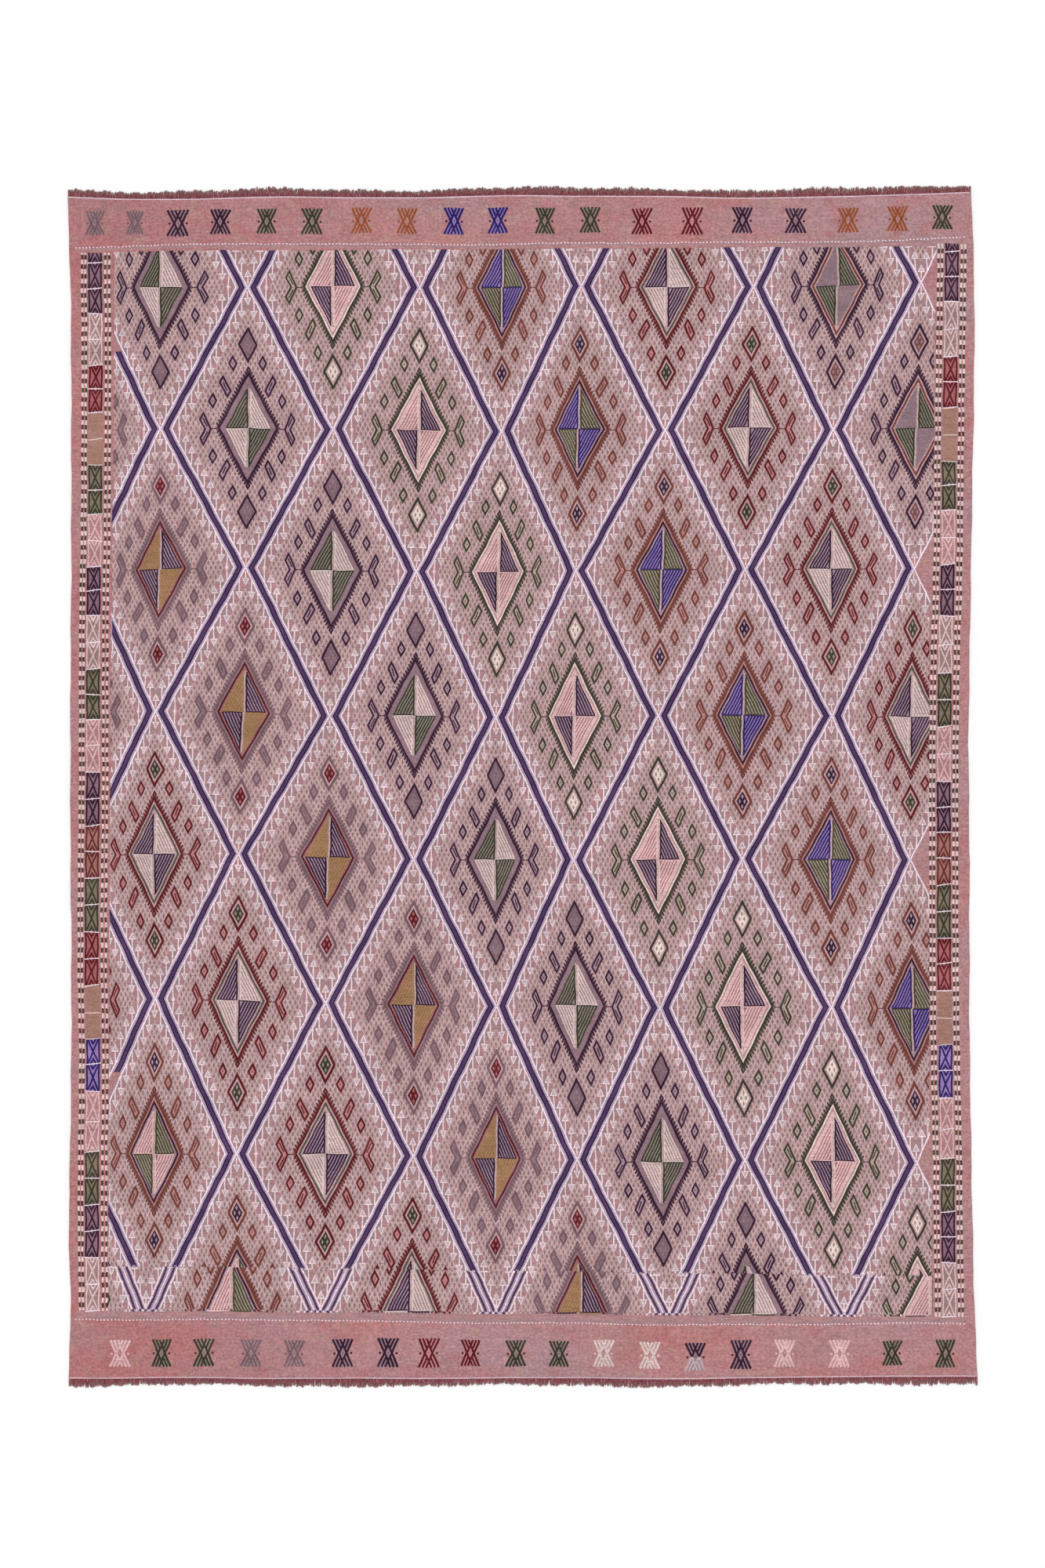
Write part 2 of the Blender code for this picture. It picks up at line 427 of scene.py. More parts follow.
FOOT_HOURGLASSES = (
    (-1027.0, -1444.0, 56.0, 68.0, "pink"),
    (-921.0, -1444.0, 51.0, 69.0, "green"),
    (-813.0, -1444.0, 56.0, 69.0, "green"),
    (-693.0, -1445.0, 54.0, 66.0, "haze_dark"),
    (-583.0, -1445.0, 54.0, 66.0, "haze_dark"),
    (-459.0, -1444.0, 56.0, 70.0, "purple"),
    (-343.0, -1444.0, 56.0, 73.0, "purple"),
    (-239.0, -1444.0, 56.0, 74.0, "red"),
    (-133.0, -1443.0, 51.0, 66.0, "red"),
    (-17.0, -1445.0, 54.0, 66.0, "green"),
    (93.0, -1447.0, 52.0, 64.0, "green"),
    (207.0, -1445.0, 56.0, 68.0, "cream"),
    (325.0, -1449.0, 56.0, 68.0, "cream"),
    (441.0, -1454.0, 54.0, 70.0, "purple"),
    (557.0, -1449.0, 56.0, 73.0, "purple"),
    (669.0, -1445.0, 56.0, 70.0, "pink"),
    (809.0, -1445.0, 56.0, 70.0, "pink"),
    (943.0, -1445.0, 52.0, 62.0, "green"),
    (1079.0, -1446.0, 52.0, 70.0, "green"),
)

# One hourglass has its lower half in another yarn: its place, and that yarn.
MENDED_HOURGLASS = (441.0, -1454.0, "ash")

# The six lines of an hourglass: where the three on each side start, as shares of its width, and
# how wide they are. Then the opening in its heart, its dots, and its ground at end and waist.
HOURGLASS_STARTS = (-0.45, -0.285, -0.12)
HOURGLASS_LINE = 6.9
HOURGLASS_HEART = 9.0
HOURGLASS_DOT = (3.6, 3.6)
HOURGLASS_DOT_AT = (0.38, -1.0)
HOURGLASS_CENTRE = (1.7, 2.4)
HOURGLASS_GROUND_SHARES = (0.47, 0.2)
HOURGLASS_GROUNDS = {
    # hourglass: the paler yarn between its lines
    "haze_dark": "haze_ground",
    "purple": "halo_lilac",
    "blue": "violet",
    "green": "halo_green",
    "orange": "inside_rust",
    "red": "faded_rose",
}
DOTTED_ROWS = (
    # place across, head row, foot row
    (-1139.0, 1375.0, -1359.0),
    (-933.0, 1383.0, -1359.0),
    (-533.0, 1387.0, -1360.0),
    (-333.0, 1384.0, -1364.0),
    (-133.0, 1384.0, -1367.0),
    (67.0, 1387.0, -1368.0),
    (367.0, 1389.0, -1372.0),
    (667.0, 1390.0, -1372.0),
    (967.0, 1394.0, -1368.0),
    (1127.0, 1403.0, -1369.0),
)
DOT_PITCH = 9.1
DOT_HALF = (2.7, 2.1)
DOT_LEAN = -0.25
DOT_STRAY = (0.8, 0.5)
ROW_GROUND_INSET = 2.0
ROW_GROUND_STEPS = 12
HATCH_PITCH = 4.4
HATCH_WIDTH = 2.0
HATCH_DEPTHS = (9.0, 22.0)
HATCH_INSET = (10.0, 4.0)
HATCH_SLANT = 0.8
FLECK_HALF = (1.8, 1.2)
FLECK_AT = (0.35, 0.5)
FLECK_SHARE = 0.16

# The twined cords.
CORD_INSET = 2.0
CORD_CORNER_INSET = 3.0
CORD_TWIST_PITCH = 4.6
CORD_TWIST_HALF = (3.2, 1.15)
CORD_TWIST_ANGLE = 0.42
CORD_RISE = 1.5

# The fringe: strands with three sides, which start a little inside the cloth's end.
STRANDS_PER_END = 2900
STRAND_STEPS = 3
STRAND_HALF = (1.0, 0.75)
STRAND_START = 1.2
STRAND_CORNER_INSET = 1.0
STRAND_STRAY = 0.5
STRAND_LEAN = 1.4
STRAND_CURL = 0.8
STRAND_CURL_TURN = 5.0
STRAND_ARCH = 0.7
STRAND_BASE = (1.5, 0.6)
STRAND_TIP = (0.5, 2.6)
STRAND_FLOOR = 0.05
STRAND_TURNS = (math.pi / 2.0, math.pi * 7.0 / 6.0, math.pi * 11.0 / 6.0)
FRINGE_LENGTH = 19.0
FRINGE_WAVES = (
    # height, reach of a wave, whether its phase differs between the ends
    (2.2, 118.0, 1.0),
    (1.6, 37.0, 0.0),
)
FRINGE_CLUMPS = (
    # height as a share of the length, reach of a wave, phase
    (0.10, 6.1, 0.0),
    (0.08, 2.3, 1.0),
)
STRAND_LENGTHS = (0.86, 1.04)
SHORT_STRANDS = (0.04, 0.6)

# Seeds of the random draws.
FRINGE_SEED = 11
PATTERN_SEED = 5

# Camera and light.
CAMERA_HEIGHT = 5.561
CAMERA_ALONG = 0.0075
LENS = 50.0
SENSOR = 36.0
SKY_STRENGTH = 0.80
SUN_STRENGTH = 1.05
SUN_TILT = (math.radians(38.0), math.radians(-24.0))
SUN_SPREAD = math.radians(14.0)
FLOOR_SIZE = 16.0
FLOOR_COLOUR = (0.97, 0.97, 0.97)

# The reach of the map on every piece, in metres.
MAP_SIZE = (2.40, 3.16)

# How the cloth is dyed: patches of other colours, each with its spots a metre across and along,
# their detail, the noise where a patch starts and where it is full, and its strength there. The
# stains come after the first two.
CLOTH_PATCHES = (
    ("pale_rose", 1.6, 2.3, 3.0, 0.38, 0.62, 1.0),
    ("deep_rose", 2.6, 5.5, 4.0, 0.52, 0.78, 0.6),
    ("grey_rose", 3.4, 9.0, 4.0, 0.5, 0.78, 0.6),
    ("deep_rose", 13.0, 21.0, 3.0, 0.53, 0.72, 0.5),
    ("sand_rose", 21.0, 29.0, 3.0, 0.53, 0.72, 0.55),
)
# Where it is stained a deeper red: the spot and the reach in metres, and the strength.
CLOTH_STAINS = (
    ((-1.06, 1.45), 0.46, 0.65),
    ((-1.16, 0.4), 0.9, 0.3),
    ((-1.00, -1.44), 0.60, 0.5),
)
# How its weft, warp, slubs and specks lighten and darken it: spots a metre across and along,
# their detail, the noise at the darkest and at the lightest, and how light those are. Then its
# threads, its fuzz, and how high its warp stands beside its weft.
CLOTH_TONES = (
    (8.0, 240.0, 3.0, 0.3, 0.7, 0.90, 1.09),
    (230.0, 7.0, 2.0, 0.3, 0.7, 0.95, 1.05),
    (260.0, 620.0, 3.0, 0.25, 0.75, 0.84, 1.15),
    (150.0, 190.0, 1.0, 0.28, 0.72, 0.78, 1.22),
)
THREADS_A_METRE = 560.0
CLOTH_FUZZ = 1300.0
WARP_SHARE = 0.8

# The same of the brocade's yarn: from weft to weft, its specks and its fibres, its plies and fuzz.
YARN_TONES = (
    (26.0, 330.0, 2.0, 0.3, 0.7, 0.86, 1.13),
    (170.0, 210.0, 1.0, 0.3, 0.7, 0.86, 1.14),
    (520.0, 520.0, 3.0, 0.25, 0.75, 0.80, 1.18),
)
PLIES_A_METRE = 760.0
YARN_FUZZ = 1500.0

# Where a yarn is worn: how much lighter it is, and how much blush shows in it.
FADED_LIGHT = 1.18
FADED_BLUSH = 0.04
YARN_COLOURS = {
    # yarns that are named for their place, and the colour of each
    "net_rising": "net_cream",
    "net_falling": "net_cream",
    "net_dots": "net_grey",
    "violet_twist": "band_light",
}
USUAL_WEAR = (None, 7.0, 16.0)
WORN_YARNS = {
    # yarn: the colour that it is worn to, and its worn spots a metre across and along
    "net_rising": ("net_ground", 55.0, 70.0),
    "net_falling": ("net_ground", 55.0, 70.0),
    "net_dots": ("net_ground", 55.0, 70.0),
    "field_ground": ("dusty", 34.0, 42.0),
}

# The longest straight leg of a yarn. Its cross section: how deep its edges sink in the cloth, where
# its back is flat, and how far a sharp corner is drawn out. Where a bead's side turns to its cap.
RIBBON_STEP = 16.0
SINK = -0.25
SHOULDER = 0.52
SHARPEST_CORNER = 0.42
BEAD_SHOULDER = 0.72

RISES = {
    # how high each kind of float stands over the cloth: grounds low, lines over them
    "field_ground": 0.04,
    "net_ground": 0.1,
    "head_halo": 0.12,
    "tip_patch": 0.13,
    "comb_halo": 0.14,
    "stem_shade": 0.15,
    "motif_halo": 0.16,
    "motif_ground": 0.2,
    "plate": 0.22,
    "motif_inside": 0.24,
    "block_ground": 0.25,
    "band_halo": 0.3,
    "arrow_fill": 0.3,
    "hourglass_ground": 0.3,
    "quarter_ground": 0.32,
    "net_dot": 0.45,
    "hatch": 0.5,
    "net": 0.6,
    "pale_axis": 0.6,
    "end_diamond_fill": 0.6,
    "stem": 0.7,
    "pale_ring": 0.7,
    "fleck": 0.7,
    "lozenge": 0.75,
    "line": 0.8,
    "outline": 0.9,
    "stripe": 0.95,
    "band_core": 1.0,
    "parting": 1.1,
    "band_edge": 1.15,
    "break": 1.2,
    "dot": 1.2,
    "twist": 1.5,
}

COLOURS = {
    # yarn: red, green, blue, as seen, out of 255
    "white": (232, 214, 225),
    "cream": (208, 186, 184),
    "pink": (214, 174, 174),
    "dusty": (190, 130, 130),
    "blush": (184, 148, 152),
    "mauve": (136, 112, 120),
    "haze": (140, 112, 120),
    "haze_dark": (116, 90, 96),
    "haze_ground": (150, 122, 126),
    "inside_red": (177, 120, 122),
    "russet": (112, 68, 70),
    "heather": (154, 130, 150),
    "fawn": (112, 84, 90),
    "taupe": (150, 132, 122),
    "fawn_rose": (152, 121, 122),
    "dim_rose": (167, 123, 127),
    "maroon": (92, 40, 38),
    "plum": (132, 100, 115),
    "khaki": (122, 110, 92),
    "olive": (136, 128, 116),
    "sand": (142, 106, 74),
    "gold": (156, 118, 86),
    "brown": (158, 118, 106),
    "clay": (156, 104, 98),
    "rosewood": (152, 122, 122),
    "old_rose": (150, 104, 110),
    "brick": (160, 92, 96),
    "red": (86, 19, 26),
    "rust": (106, 54, 46),
    "orange": (142, 75, 44),
    "green": (54, 52, 42),
    "moss": (78, 76, 66),
    "purple": (48, 22, 42),
    "blue": (38, 26, 94),
    "violet": (142, 118, 168),
    "indigo": (72, 50, 88),
    "band_edge": (52, 28, 60),
    "band_light": (92, 70, 106),
    "lavender": (172, 152, 178),
    "lilac_grey": (170, 146, 164),
    "ash": (186, 164, 168),
    "dark_check": (70, 51, 47),
    "wine_check": (82, 50, 53),
    "moss_check": (72, 66, 50),
    "light_check": (218, 194, 192),
    "net_cream": (212, 184, 183),
    "net_grey": (126, 98, 102),
    "net_ground": (166, 133, 135),
    "field_ground": (162, 131, 135),
    "axis": (186, 160, 158),
    "rose_white": (226, 204, 210),
    "shade": (147, 125, 127),
    "dusk": (138, 110, 120),
    "dim_mauve": (123, 97, 106),
    "halo_lilac": (146, 116, 128),
    "halo_green": (142, 122, 114),
    "inside_green": (170, 150, 140),
    "ivory": (226, 206, 198),
    "halo_rust": (150, 112, 108),
    "inside_rust": (170, 124, 122),
    "dusty_lilac": (158, 128, 140),
    "comb_lilac": (100, 74, 88),
    "comb_green": (107, 92, 84),
    "comb_rust": (124, 82, 79),
    "lilac": (160, 136, 154),
    "faded_rose": (186, 122, 128),
    "dim_pink": (178, 138, 142),
    "sage": (68, 62, 48),
    "pale_sage": (152, 142, 122),
    "salmon": (186, 128, 128),
    "pale_rose": (178, 138, 144),
    "deep_rose": (178, 100, 102),
    "grey_rose": (162, 136, 138),
    "sand_rose": (180, 144, 132),
    "wine": (172, 92, 101),
    "dark_wine": (122, 58, 66),
    "pale_wine": (218, 172, 172),
    "dull_wine": (154, 116, 114),
}


# ------------------------------------------------------------------------- places on the rug


def follow(table, index, place):
    """Reads one column of a table at any place, on straight lines between its rows."""
    rows = sorted(table)
    return np.interp(place, [row[0] for row in rows], [row[index] for row in rows])


def along_line(line, across):
    """The place along the rug of a nearly level line through two points, at a place across."""
    (start_x, start_y), (end_x, end_y) = line
    return start_y + (np.asarray(across) - start_x) * (end_y - start_y) / (end_x - start_x)


def cloth_edges():
    """The CAD cloth's four edges, each as sorted places and the edge's distance there."""
    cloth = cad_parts["kilim_cloth"]
    spots = np.array([cloth.matrix_world @ vertex.co for vertex in cloth.data.vertices]) / MM
    edges = {}
    for name, axis, sign in (("left", 0, -1), ("right", 0, 1), ("foot", 1, -1), ("head", 1, 1)):
        other = 1 - axis
        reach = sign * spots[:, axis]
        near = spots[reach > reach.max() - EDGE_REACH]
        places = np.unique(np.round(near[:, other]))
        values = [
            sign * (sign * near[np.abs(near[:, other] - place) < EDGE_MATCH, axis]).max()
            for place in places
        ]
        edges[name] = (places, np.array(values))
    return edges


EDGES = cloth_edges()


def edge(name, place):
    return np.interp(place, *EDGES[name])


def lift(across, along):
    """How far the cloth's underside is off the floor, in millimetres."""
    rise = np.full(np.shape(across), SWELL_FLOOR)
    for height, turns_across, turns_along, phase in SWELLS:
        turns = (across * turns_across + along * turns_along) * MM
        rise = rise + height * np.sin(2.0 * math.pi * turns + phase)
    from_end = np.minimum(edge("head", across) - along, along - edge("foot", across))
    fading = np.exp(-np.maximum(from_end, 0.0) / END_RIPPLE_REACH)
    ripple = 1.0 + np.sin(2.0 * math.pi * across * MM * END_RIPPLE_TURNS + np.sign(along))
    return rise + END_RIPPLE * fading * ripple


def hand_drift(spots):
    """The spots, moved a little by the drifts of the weft and the warp."""
    moved = spots.copy()
    for axis, height, across, along in HAND_DRIFTS:
        moved[:, axis] += height * np.sin(spots[:, 0] / across + spots[:, 1] / along)
    return moved


# ------------------------------------------------------------------------- patches of yarn
# A patch is an array of spots (across, along, height over the cloth) and an array of faces of
# four spots each. A triangle names its last spot twice.


def joined(patches):
    spots = []
    faces = []
    total = 0
    for some_spots, some_faces in patches:
        spots.append(some_spots)
        faces.append(some_faces + total)
        total += len(some_spots)
    return np.concatenate(spots), np.concatenate(faces)


def resampled(path, step):
    """A path with points added so that none of its legs is longer than the step."""
    path = np.asarray(path, float)
    points = [path[:1]]
    for start, end in zip(path[:-1], path[1:]):
        legs = max(1, math.ceil(np.linalg.norm(end - start) / step))
        shares = np.arange(1, legs + 1)[:, None] / legs
        points.append(start + (end - start) * shares)
    return np.concatenate(points)


def ribbon(path, width, rise, closed=False):
    """A yarn with a rounded back that lies along a path."""
    path = np.asarray(path, float)
    if closed:
        path = np.concatenate([path, path[:1]])
    path = resampled(path, RIBBON_STEP)
    legs = np.diff(path, axis=0)
    legs /= np.linalg.norm(legs, axis=1)[:, None]
    sides = np.stack([-legs[:, 1], legs[:, 0]], axis=1)
    before = np.concatenate([sides[-1:] if closed else sides[:1], sides])
    after = np.concatenate([sides, sides[:1] if closed else sides[-1:]])
    turn = 1.0 + np.sum(before * after, axis=1)
    mitre = (before + after) / np.maximum(turn, SHARPEST_CORNER)[:, None]
    rows = []
    for share, height in ((-1.0, SINK), (-SHOULDER, rise), (SHOULDER, rise), (1.0, SINK)):
        flat = path + mitre * (share * width / 2.0)
        rows.append(np.column_stack([flat, np.full(len(path), height)]))
    count = len(path)
    low = np.arange(count - 1)
    faces = []
    for row in range(len(rows) - 1):
        first = low + row * count
        faces.append(np.column_stack([first, first + 1, first + 1 + count, first + count]))
    return np.concatenate(rows), np.concatenate(faces)


def many(corners, heights, faces):
    """Many small floats alike: where each corner of all of them is, its height, and one's faces."""
    layers = [np.column_stack([flat, np.full(len(flat), h)]) for flat, h in zip(corners, heights)]
    first = len(corners) * np.arange(len(corners[0]))[:, None]
    turned = [first + np.array([face]) for face in faces]
    return np.stack(layers, axis=1).reshape(-1, 3), np.concatenate(turned)


def half_widths(starts, ends, width):
    """Half the width of each float, as a step square to it."""
    legs = ends - starts
    sides = np.stack([-legs[:, 1], legs[:, 0]], axis=1)
    return sides * ((width / 2.0) / np.linalg.norm(sides, axis=1)[:, None])


def stitches(starts, ends, width, rise):
    """Short floats, pointed at both ends, one from each start to its end."""
    starts = np.asarray(starts, float)
    ends = np.asarray(ends, float)
    sides = half_widths(starts, ends, width)
    middles = (starts + ends) / 2.0
    corners = (starts, middles - sides, ends, middles + sides, middles)
    faces = ((0, 1, 4, 4), (1, 2, 4, 4), (2, 3, 4, 4), (3, 0, 4, 4))
    return many(corners, (SINK, SINK, SINK, SINK, rise), faces)


def bars(starts, ends, width, rise):
    """Short floats with blunt ends and a ridge, one from each start to its end."""
    sides = half_widths(starts, ends, width)
    corners = (starts - sides, ends - sides, starts, ends, starts + sides, ends + sides)
    return many(corners, (SINK, SINK, rise, rise, SINK, SINK), ((0, 1, 3, 2), (2, 3, 5, 4)))


def folded_dots(middles, half_width, half_length, rise):
    """Small diamonds folded along their length, two triangles each."""
    side = np.array([half_width, 0.0])
    reach = np.array([0.0, half_length])
    corners = (middles - reach, middles + side, middles + reach, middles - side)
    return many(corners, (rise, SINK, rise, SINK), ((0, 1, 2, 2), (0, 2, 3, 3)))


def beads(middles, half_length, half_width, angle, rise, sides=8):
    """Low domes, each a twist or a stitch of thick yarn. The angle turns them from level."""
    middles = np.asarray(middles, float)
    turns = np.arange(sides) * 2.0 * math.pi / sides
    angles = np.broadcast_to(np.asarray(angle, float), len(middles))
    rings = []
    for share, height in ((1.0, SINK), (BEAD_SHOULDER, rise * BEAD_SHOULDER), (0.0, rise)):
        count = sides if share else 1
        local_x = half_length * share * np.cos(turns[:count])
        local_y = half_width * share * np.sin(turns[:count])
        across = np.outer(np.cos(angles), local_x) - np.outer(np.sin(angles), local_y)
        along = np.outer(np.sin(angles), local_x) + np.outer(np.cos(angles), local_y)
        flat_x = middles[:, 0, None] + across
        flat_y = middles[:, 1, None] + along
        rings.append(np.stack([flat_x, flat_y, np.full_like(flat_x, height)], axis=2))
    spots = np.concatenate(rings, axis=1)
    each = spots.shape[1]
    around = np.arange(sides)
    following = (around + 1) % sides
    walls = np.column_stack([around, following, following + sides, around + sides])
    peak = np.full(sides, 2 * sides)
    cap = np.column_stack([around + sides, following + sides, peak, peak])
    one = np.concatenate([walls, cap])
    first = each * np.arange(len(middles))[:, None, None]
    return spots.reshape(-1, 3), (one[None] + first).reshape(-1, 4)


def plate(corners, height, steps):
    """A level patch between four corners, of as many cells a side as there are steps."""
    a, b, c, d = (np.asarray(corner, float) for corner in corners)
    share = np.linspace(0.0, 1.0, steps + 1)
    s, t = (grid.ravel()[:, None] for grid in np.meshgrid(share, share))
    flat = (a * (1 - s) + b * s) * (1 - t) + (d * (1 - s) + c * s) * t
    spots = np.column_stack([flat, np.full(len(flat), height)])
    cell = np.arange(steps)
    low = (cell[:, None] * (steps + 1) + cell[None]).ravel()
    faces = np.column_stack([low, low + 1, low + steps + 2, low + steps + 1])
    return spots, faces


def upward(patch):
    """The patch with its first face, and so all of them, turned to face up."""
    spots, faces = patch
    a, b, c = spots[faces[0][:3], :2]
    turn = (b[0] - a[0]) * (c[1] - a[1]) - (b[1] - a[1]) * (c[0] - a[0])
    return (spots, faces) if turn > 0 else (spots, faces[:, ::-1])


def diamond(middle, half_width, half_length):
    x, y = middle
    return [(x, y + half_length), (x + half_width, y), (x, y - half_length), (x - half_width, y)]


def cut(patch, keep):
    """The part of a patch on the kept side of a line, given as a, b, c with ax + by + c >= 0."""
    spots, faces = patch
    if not len(faces):
        return patch
    depth = spots[:, 0] * keep[0] + spots[:, 1] * keep[1] + keep[2]
    inside = depth[faces] >= 0.0
    whole = faces[inside.all(axis=1)]
    crossed = faces[inside.any(axis=1) & ~inside.all(axis=1)]
    extra = []
    pieces = []
    for face in crossed:
        ring = list(dict.fromkeys(face))
        outline = []
        for here, there in zip(ring, ring[1:] + ring[:1]):
            if depth[here] >= 0.0:
                outline.append(here)
            if (depth[here] >= 0.0) != (depth[there] >= 0.0):
                share = depth[here] / (depth[here] - depth[there])
                outline.append(len(spots) + len(extra))
                extra.append(spots[here] + (spots[there] - spots[here]) * share)
        for second, third in zip(outline[1:-1], outline[2:]):
            pieces.append((outline[0], second, third, third))
    if extra:
        spots = np.concatenate([spots, np.array(extra)])
    if pieces:
        whole = np.concatenate([whole, np.array(pieces)])
    return compact(spots, whole)


def compact(spots, faces):
    """Drops the spots that no face names."""
    used, places = np.unique(faces, return_inverse=True)
    return spots[used], places.reshape(faces.shape)


def keep_over(line):
    """The line as a, b, c for what lies on its head side."""
    (start_x, start_y), (end_x, end_y) = line
    a, b = start_y - end_y, end_x - start_x
    return a, b, -(a * start_x + b * start_y)


def keep_under(line):
    a, b, c = keep_over(line)
    return -a, -b, -c


class Brocade:
    """Every patch of the brocade, gathered by yarn."""

    def __init__(self):
        self.patches = {}

    def add(self, yarn, patch):
        if len(patch[1]):
            self.patches.setdefault(yarn, []).append(patch)

    def weave(self, yarn, patch):
        """Adds a patch cut to the field, its part under the break drawn out and moved."""
        self.weave_over(yarn, patch)
        self.weave_broken(yarn, patch)

    def weave_over(self, yarn, patch):
        """Adds the part of a patch that is in the field and over the break."""
        self.add(yarn, cut_to_field(patch, keep_over(BREAK), keep_under(FIELD_TOP)))

    def weave_broken(self, yarn, patch):
        """Adds what comes to lie under the break; the last wefts of the field are out of line."""
        if not len(patch[1]) or patch[0][:, 1].min() > BREAK[0][1] + BREAK_DROPS[0][1]:
            return
        moved = (broken(patch[0]), patch[1])
        moved = cut_to_field(moved, keep_under(BREAK), keep_over(FIELD_BOTTOM))
        last_wefts = tuple((x, y + FOOT_WEFTS) for x, y in FIELD_BOTTOM)
        self.add(yarn, cut(moved, keep_over(last_wefts)))
        spots, faces = cut(moved, keep_under(last_wefts))
        self.add(yarn, (spots + np.array([FOOT_SHIFT, 0.0, 0.0]), faces))


def cut_to_field(patch, *lines):
    """The part of a patch between the field's sides and on the kept side of each line."""
    for line in lines:
        patch = cut(patch, line)
    if not len(patch[1]):
        return patch
    middle = patch[0][:, 1].mean()
    patch = cut(patch, (1.0, 0.0, -follow(FIELD_SIDES, 1, middle)))
    return cut(patch, (-1.0, 0.0, follow(FIELD_SIDES, 2, middle)))


def broken(spots):
    """Where spots come to lie when the pattern starts again under the break."""
    moved = spots.copy()
    start = along_line(BREAK, spots[:, 0])
    stretch = along_line(BREAK_STRETCH, spots[:, 0])
    drop = follow(BREAK_DROPS, 1, spots[:, 0])
    moved[:, 1] = start + (spots[:, 1] - start) * stretch - drop
    moved[:, 0] += (spots[:, 0] - BREAK_STILL_AT) * BREAK_DRIFT
    return moved


# ------------------------------------------------------------------------- the lattice


def lattice_nodes():
    """Places of the lattice by (column, row), one column and two rows beyond the tables."""
    nodes = {}
    last = len(LATTICE_ACROSS) - 1
    for row in range(-2, last + 3):
        nearest = min(max(row, 0), last)
        beyond = row - nearest
        across = LATTICE_ACROSS[nearest - beyond]
        along = [place - beyond * ROW_PITCH for place in LATTICE_ALONG[nearest]]
        before = across[0] - (across[2] - across[0]) / 2.0
        after = across[-1] + (across[-1] - across[-3]) / 2.0
        across = (before, *across, after)
        along = (along[0], *along, along[-1])
        for number, spot in enumerate(zip(across, along)):
            nodes[number - 1, row] = np.array(spot, float)
    return nodes


NODES = lattice_nodes()


def place_in_cell(spots, column, row):
    """Moves spots from millimetres round a diamond's middle to their place on the rug."""
    share_x = np.abs(spots[:, 0]) / COLUMN_PITCH
    share_y = np.abs(spots[:, 1]) / ROW_PITCH
    placed = spots.copy()
    for side in (-1, 1):
        for end in (-1, 1):
            mine = ((spots[:, 0] >= 0) == (side > 0)) & ((spots[:, 1] >= 0) == (end > 0))
            s = share_x[mine, None]
            t = share_y[mine, None]
            middle = NODES[column, row]
            beside = NODES[column + side, row]
            beyond = NODES[column, row - end]
            corner = NODES[column + side, row - end]
            flat = middle * (1 - s) * (1 - t) + beside * s * (1 - t)
            placed[mine, :2] = flat + beyond * (1 - s) * t + corner * s * t
    return placed


# ------------------------------------------------------------------------- parts of a diamond
# Each is drawn round the diamond's middle and given as (part, patch) pairs.


def line_height(across):
    """How far from the middle the inner white line of a diamond is, at a place across."""
    half_width = COLUMN_PITCH - 2.0 * BAND_LINE_AT
    return ROW_PITCH * (1.0 - abs(across) / half_width)


def arrow(across, start, end):
    """A stem from start to the base of a head that points the same way."""
    way = math.copysign(1.0, end - start)
    tip = (across, end + way * HEAD_LENGTH)
    corners = [(across - HEAD_HALF, end), (across + HEAD_HALF, end), tip]
    low, wide, high = HEAD_FILL
    base = end + way * HEAD_LENGTH * low
    fill = [
        (across - HEAD_HALF * wide, base),
        (across + HEAD_HALF * wide, base),
        (across, end + way * HEAD_LENGTH * high),
    ]
    if way < 0:
        fill.reverse()
    fill = plate([*fill, fill[2]], RISES["arrow_fill"], steps=1)
    return (
        ("stem_shade", ribbon(corners, HEAD_HALO, RISES["head_halo"], closed=True)),
        ("white", ribbon([(across, start), (across, end)], STEM_WIDTH, RISES["stem"])),
        ("white", ribbon(corners, HEAD_LINE, RISES["line"], closed=True)),
        ("arrow_fill", fill),
    )


def arrows():
    parts = []
    for end in (-1, 1):
        for side in (-1, 1):
            for number in range(1, ARROWS_A_SIDE + 1):
                across = side * number * ARROW_STEP
                start = end * line_height(across)
                base = start - end * STEM_LENGTH
                parts.extend(arrow(across, start, base))
                shade = across + side * SHADE_AT
                top = end * line_height(shade) - end * SHADE_INSET
                path = [(shade, top), (shade, base)]
                parts.append(("stem_shade", ribbon(path, SHADE_WIDTH, RISES["stem_shade"])))
                beyond, below, half_width, half_length = TIP_PATCH
                middle = (across + side * beyond, start - end * below)
                corners = reversed(diamond(middle, half_width, half_length))
                parts.append(("tip_patch", plate(corners, RISES["tip_patch"], steps=1)))
        start, base = (end * (ROW_PITCH - reach) for reach in AXIS_STEM)
        parts.extend(arrow(0.0, start, base))
    for side in (-1, 1):
        star = side * (COLUMN_PITCH - 2.0 * BAND_LINE_AT - STAR_INSET)
        height = line_height(star)
        stem = [(star, height), (star, -height)]
        parts.append(("white", ribbon(stem, STEM_WIDTH, RISES["stem"])))
        for turn in STAR_TURNS:
            reach = np.array([math.cos(turn), math.sin(turn)]) * STAR_HALF
            starts = [np.array([star, 0.0]) - reach]
            ends = [np.array([star, 0.0]) + reach]
            parts.append(("white", stitches(starts, ends, STAR_RAY, RISES["outline"])))
    return parts


def is_clear(across, along):
    """True where the net may be woven: away from the medallion and the small motifs."""
    x, y = np.abs(across), np.abs(along)
    free = np.ones(np.shape(x), bool)
    for middle_x, middle_y, half_width, half_length in CLEAR_DIAMONDS:
        reach = np.abs(x - middle_x) / half_width + np.abs(y - middle_y) / half_length
        free &= reach > 1.0
    for start, end, radius in CLEAR_SPOTS:
        start, end = np.array(start), np.array(end)
        leg = end - start
        share = ((x - start[0]) * leg[0] + (y - start[1]) * leg[1]) / (leg @ leg)
        share = np.clip(share, 0.0, 1.0)
        away = np.hypot(x - start[0] - share * leg[0], y - start[1] - share * leg[1])
        free &= away > radius
    return free


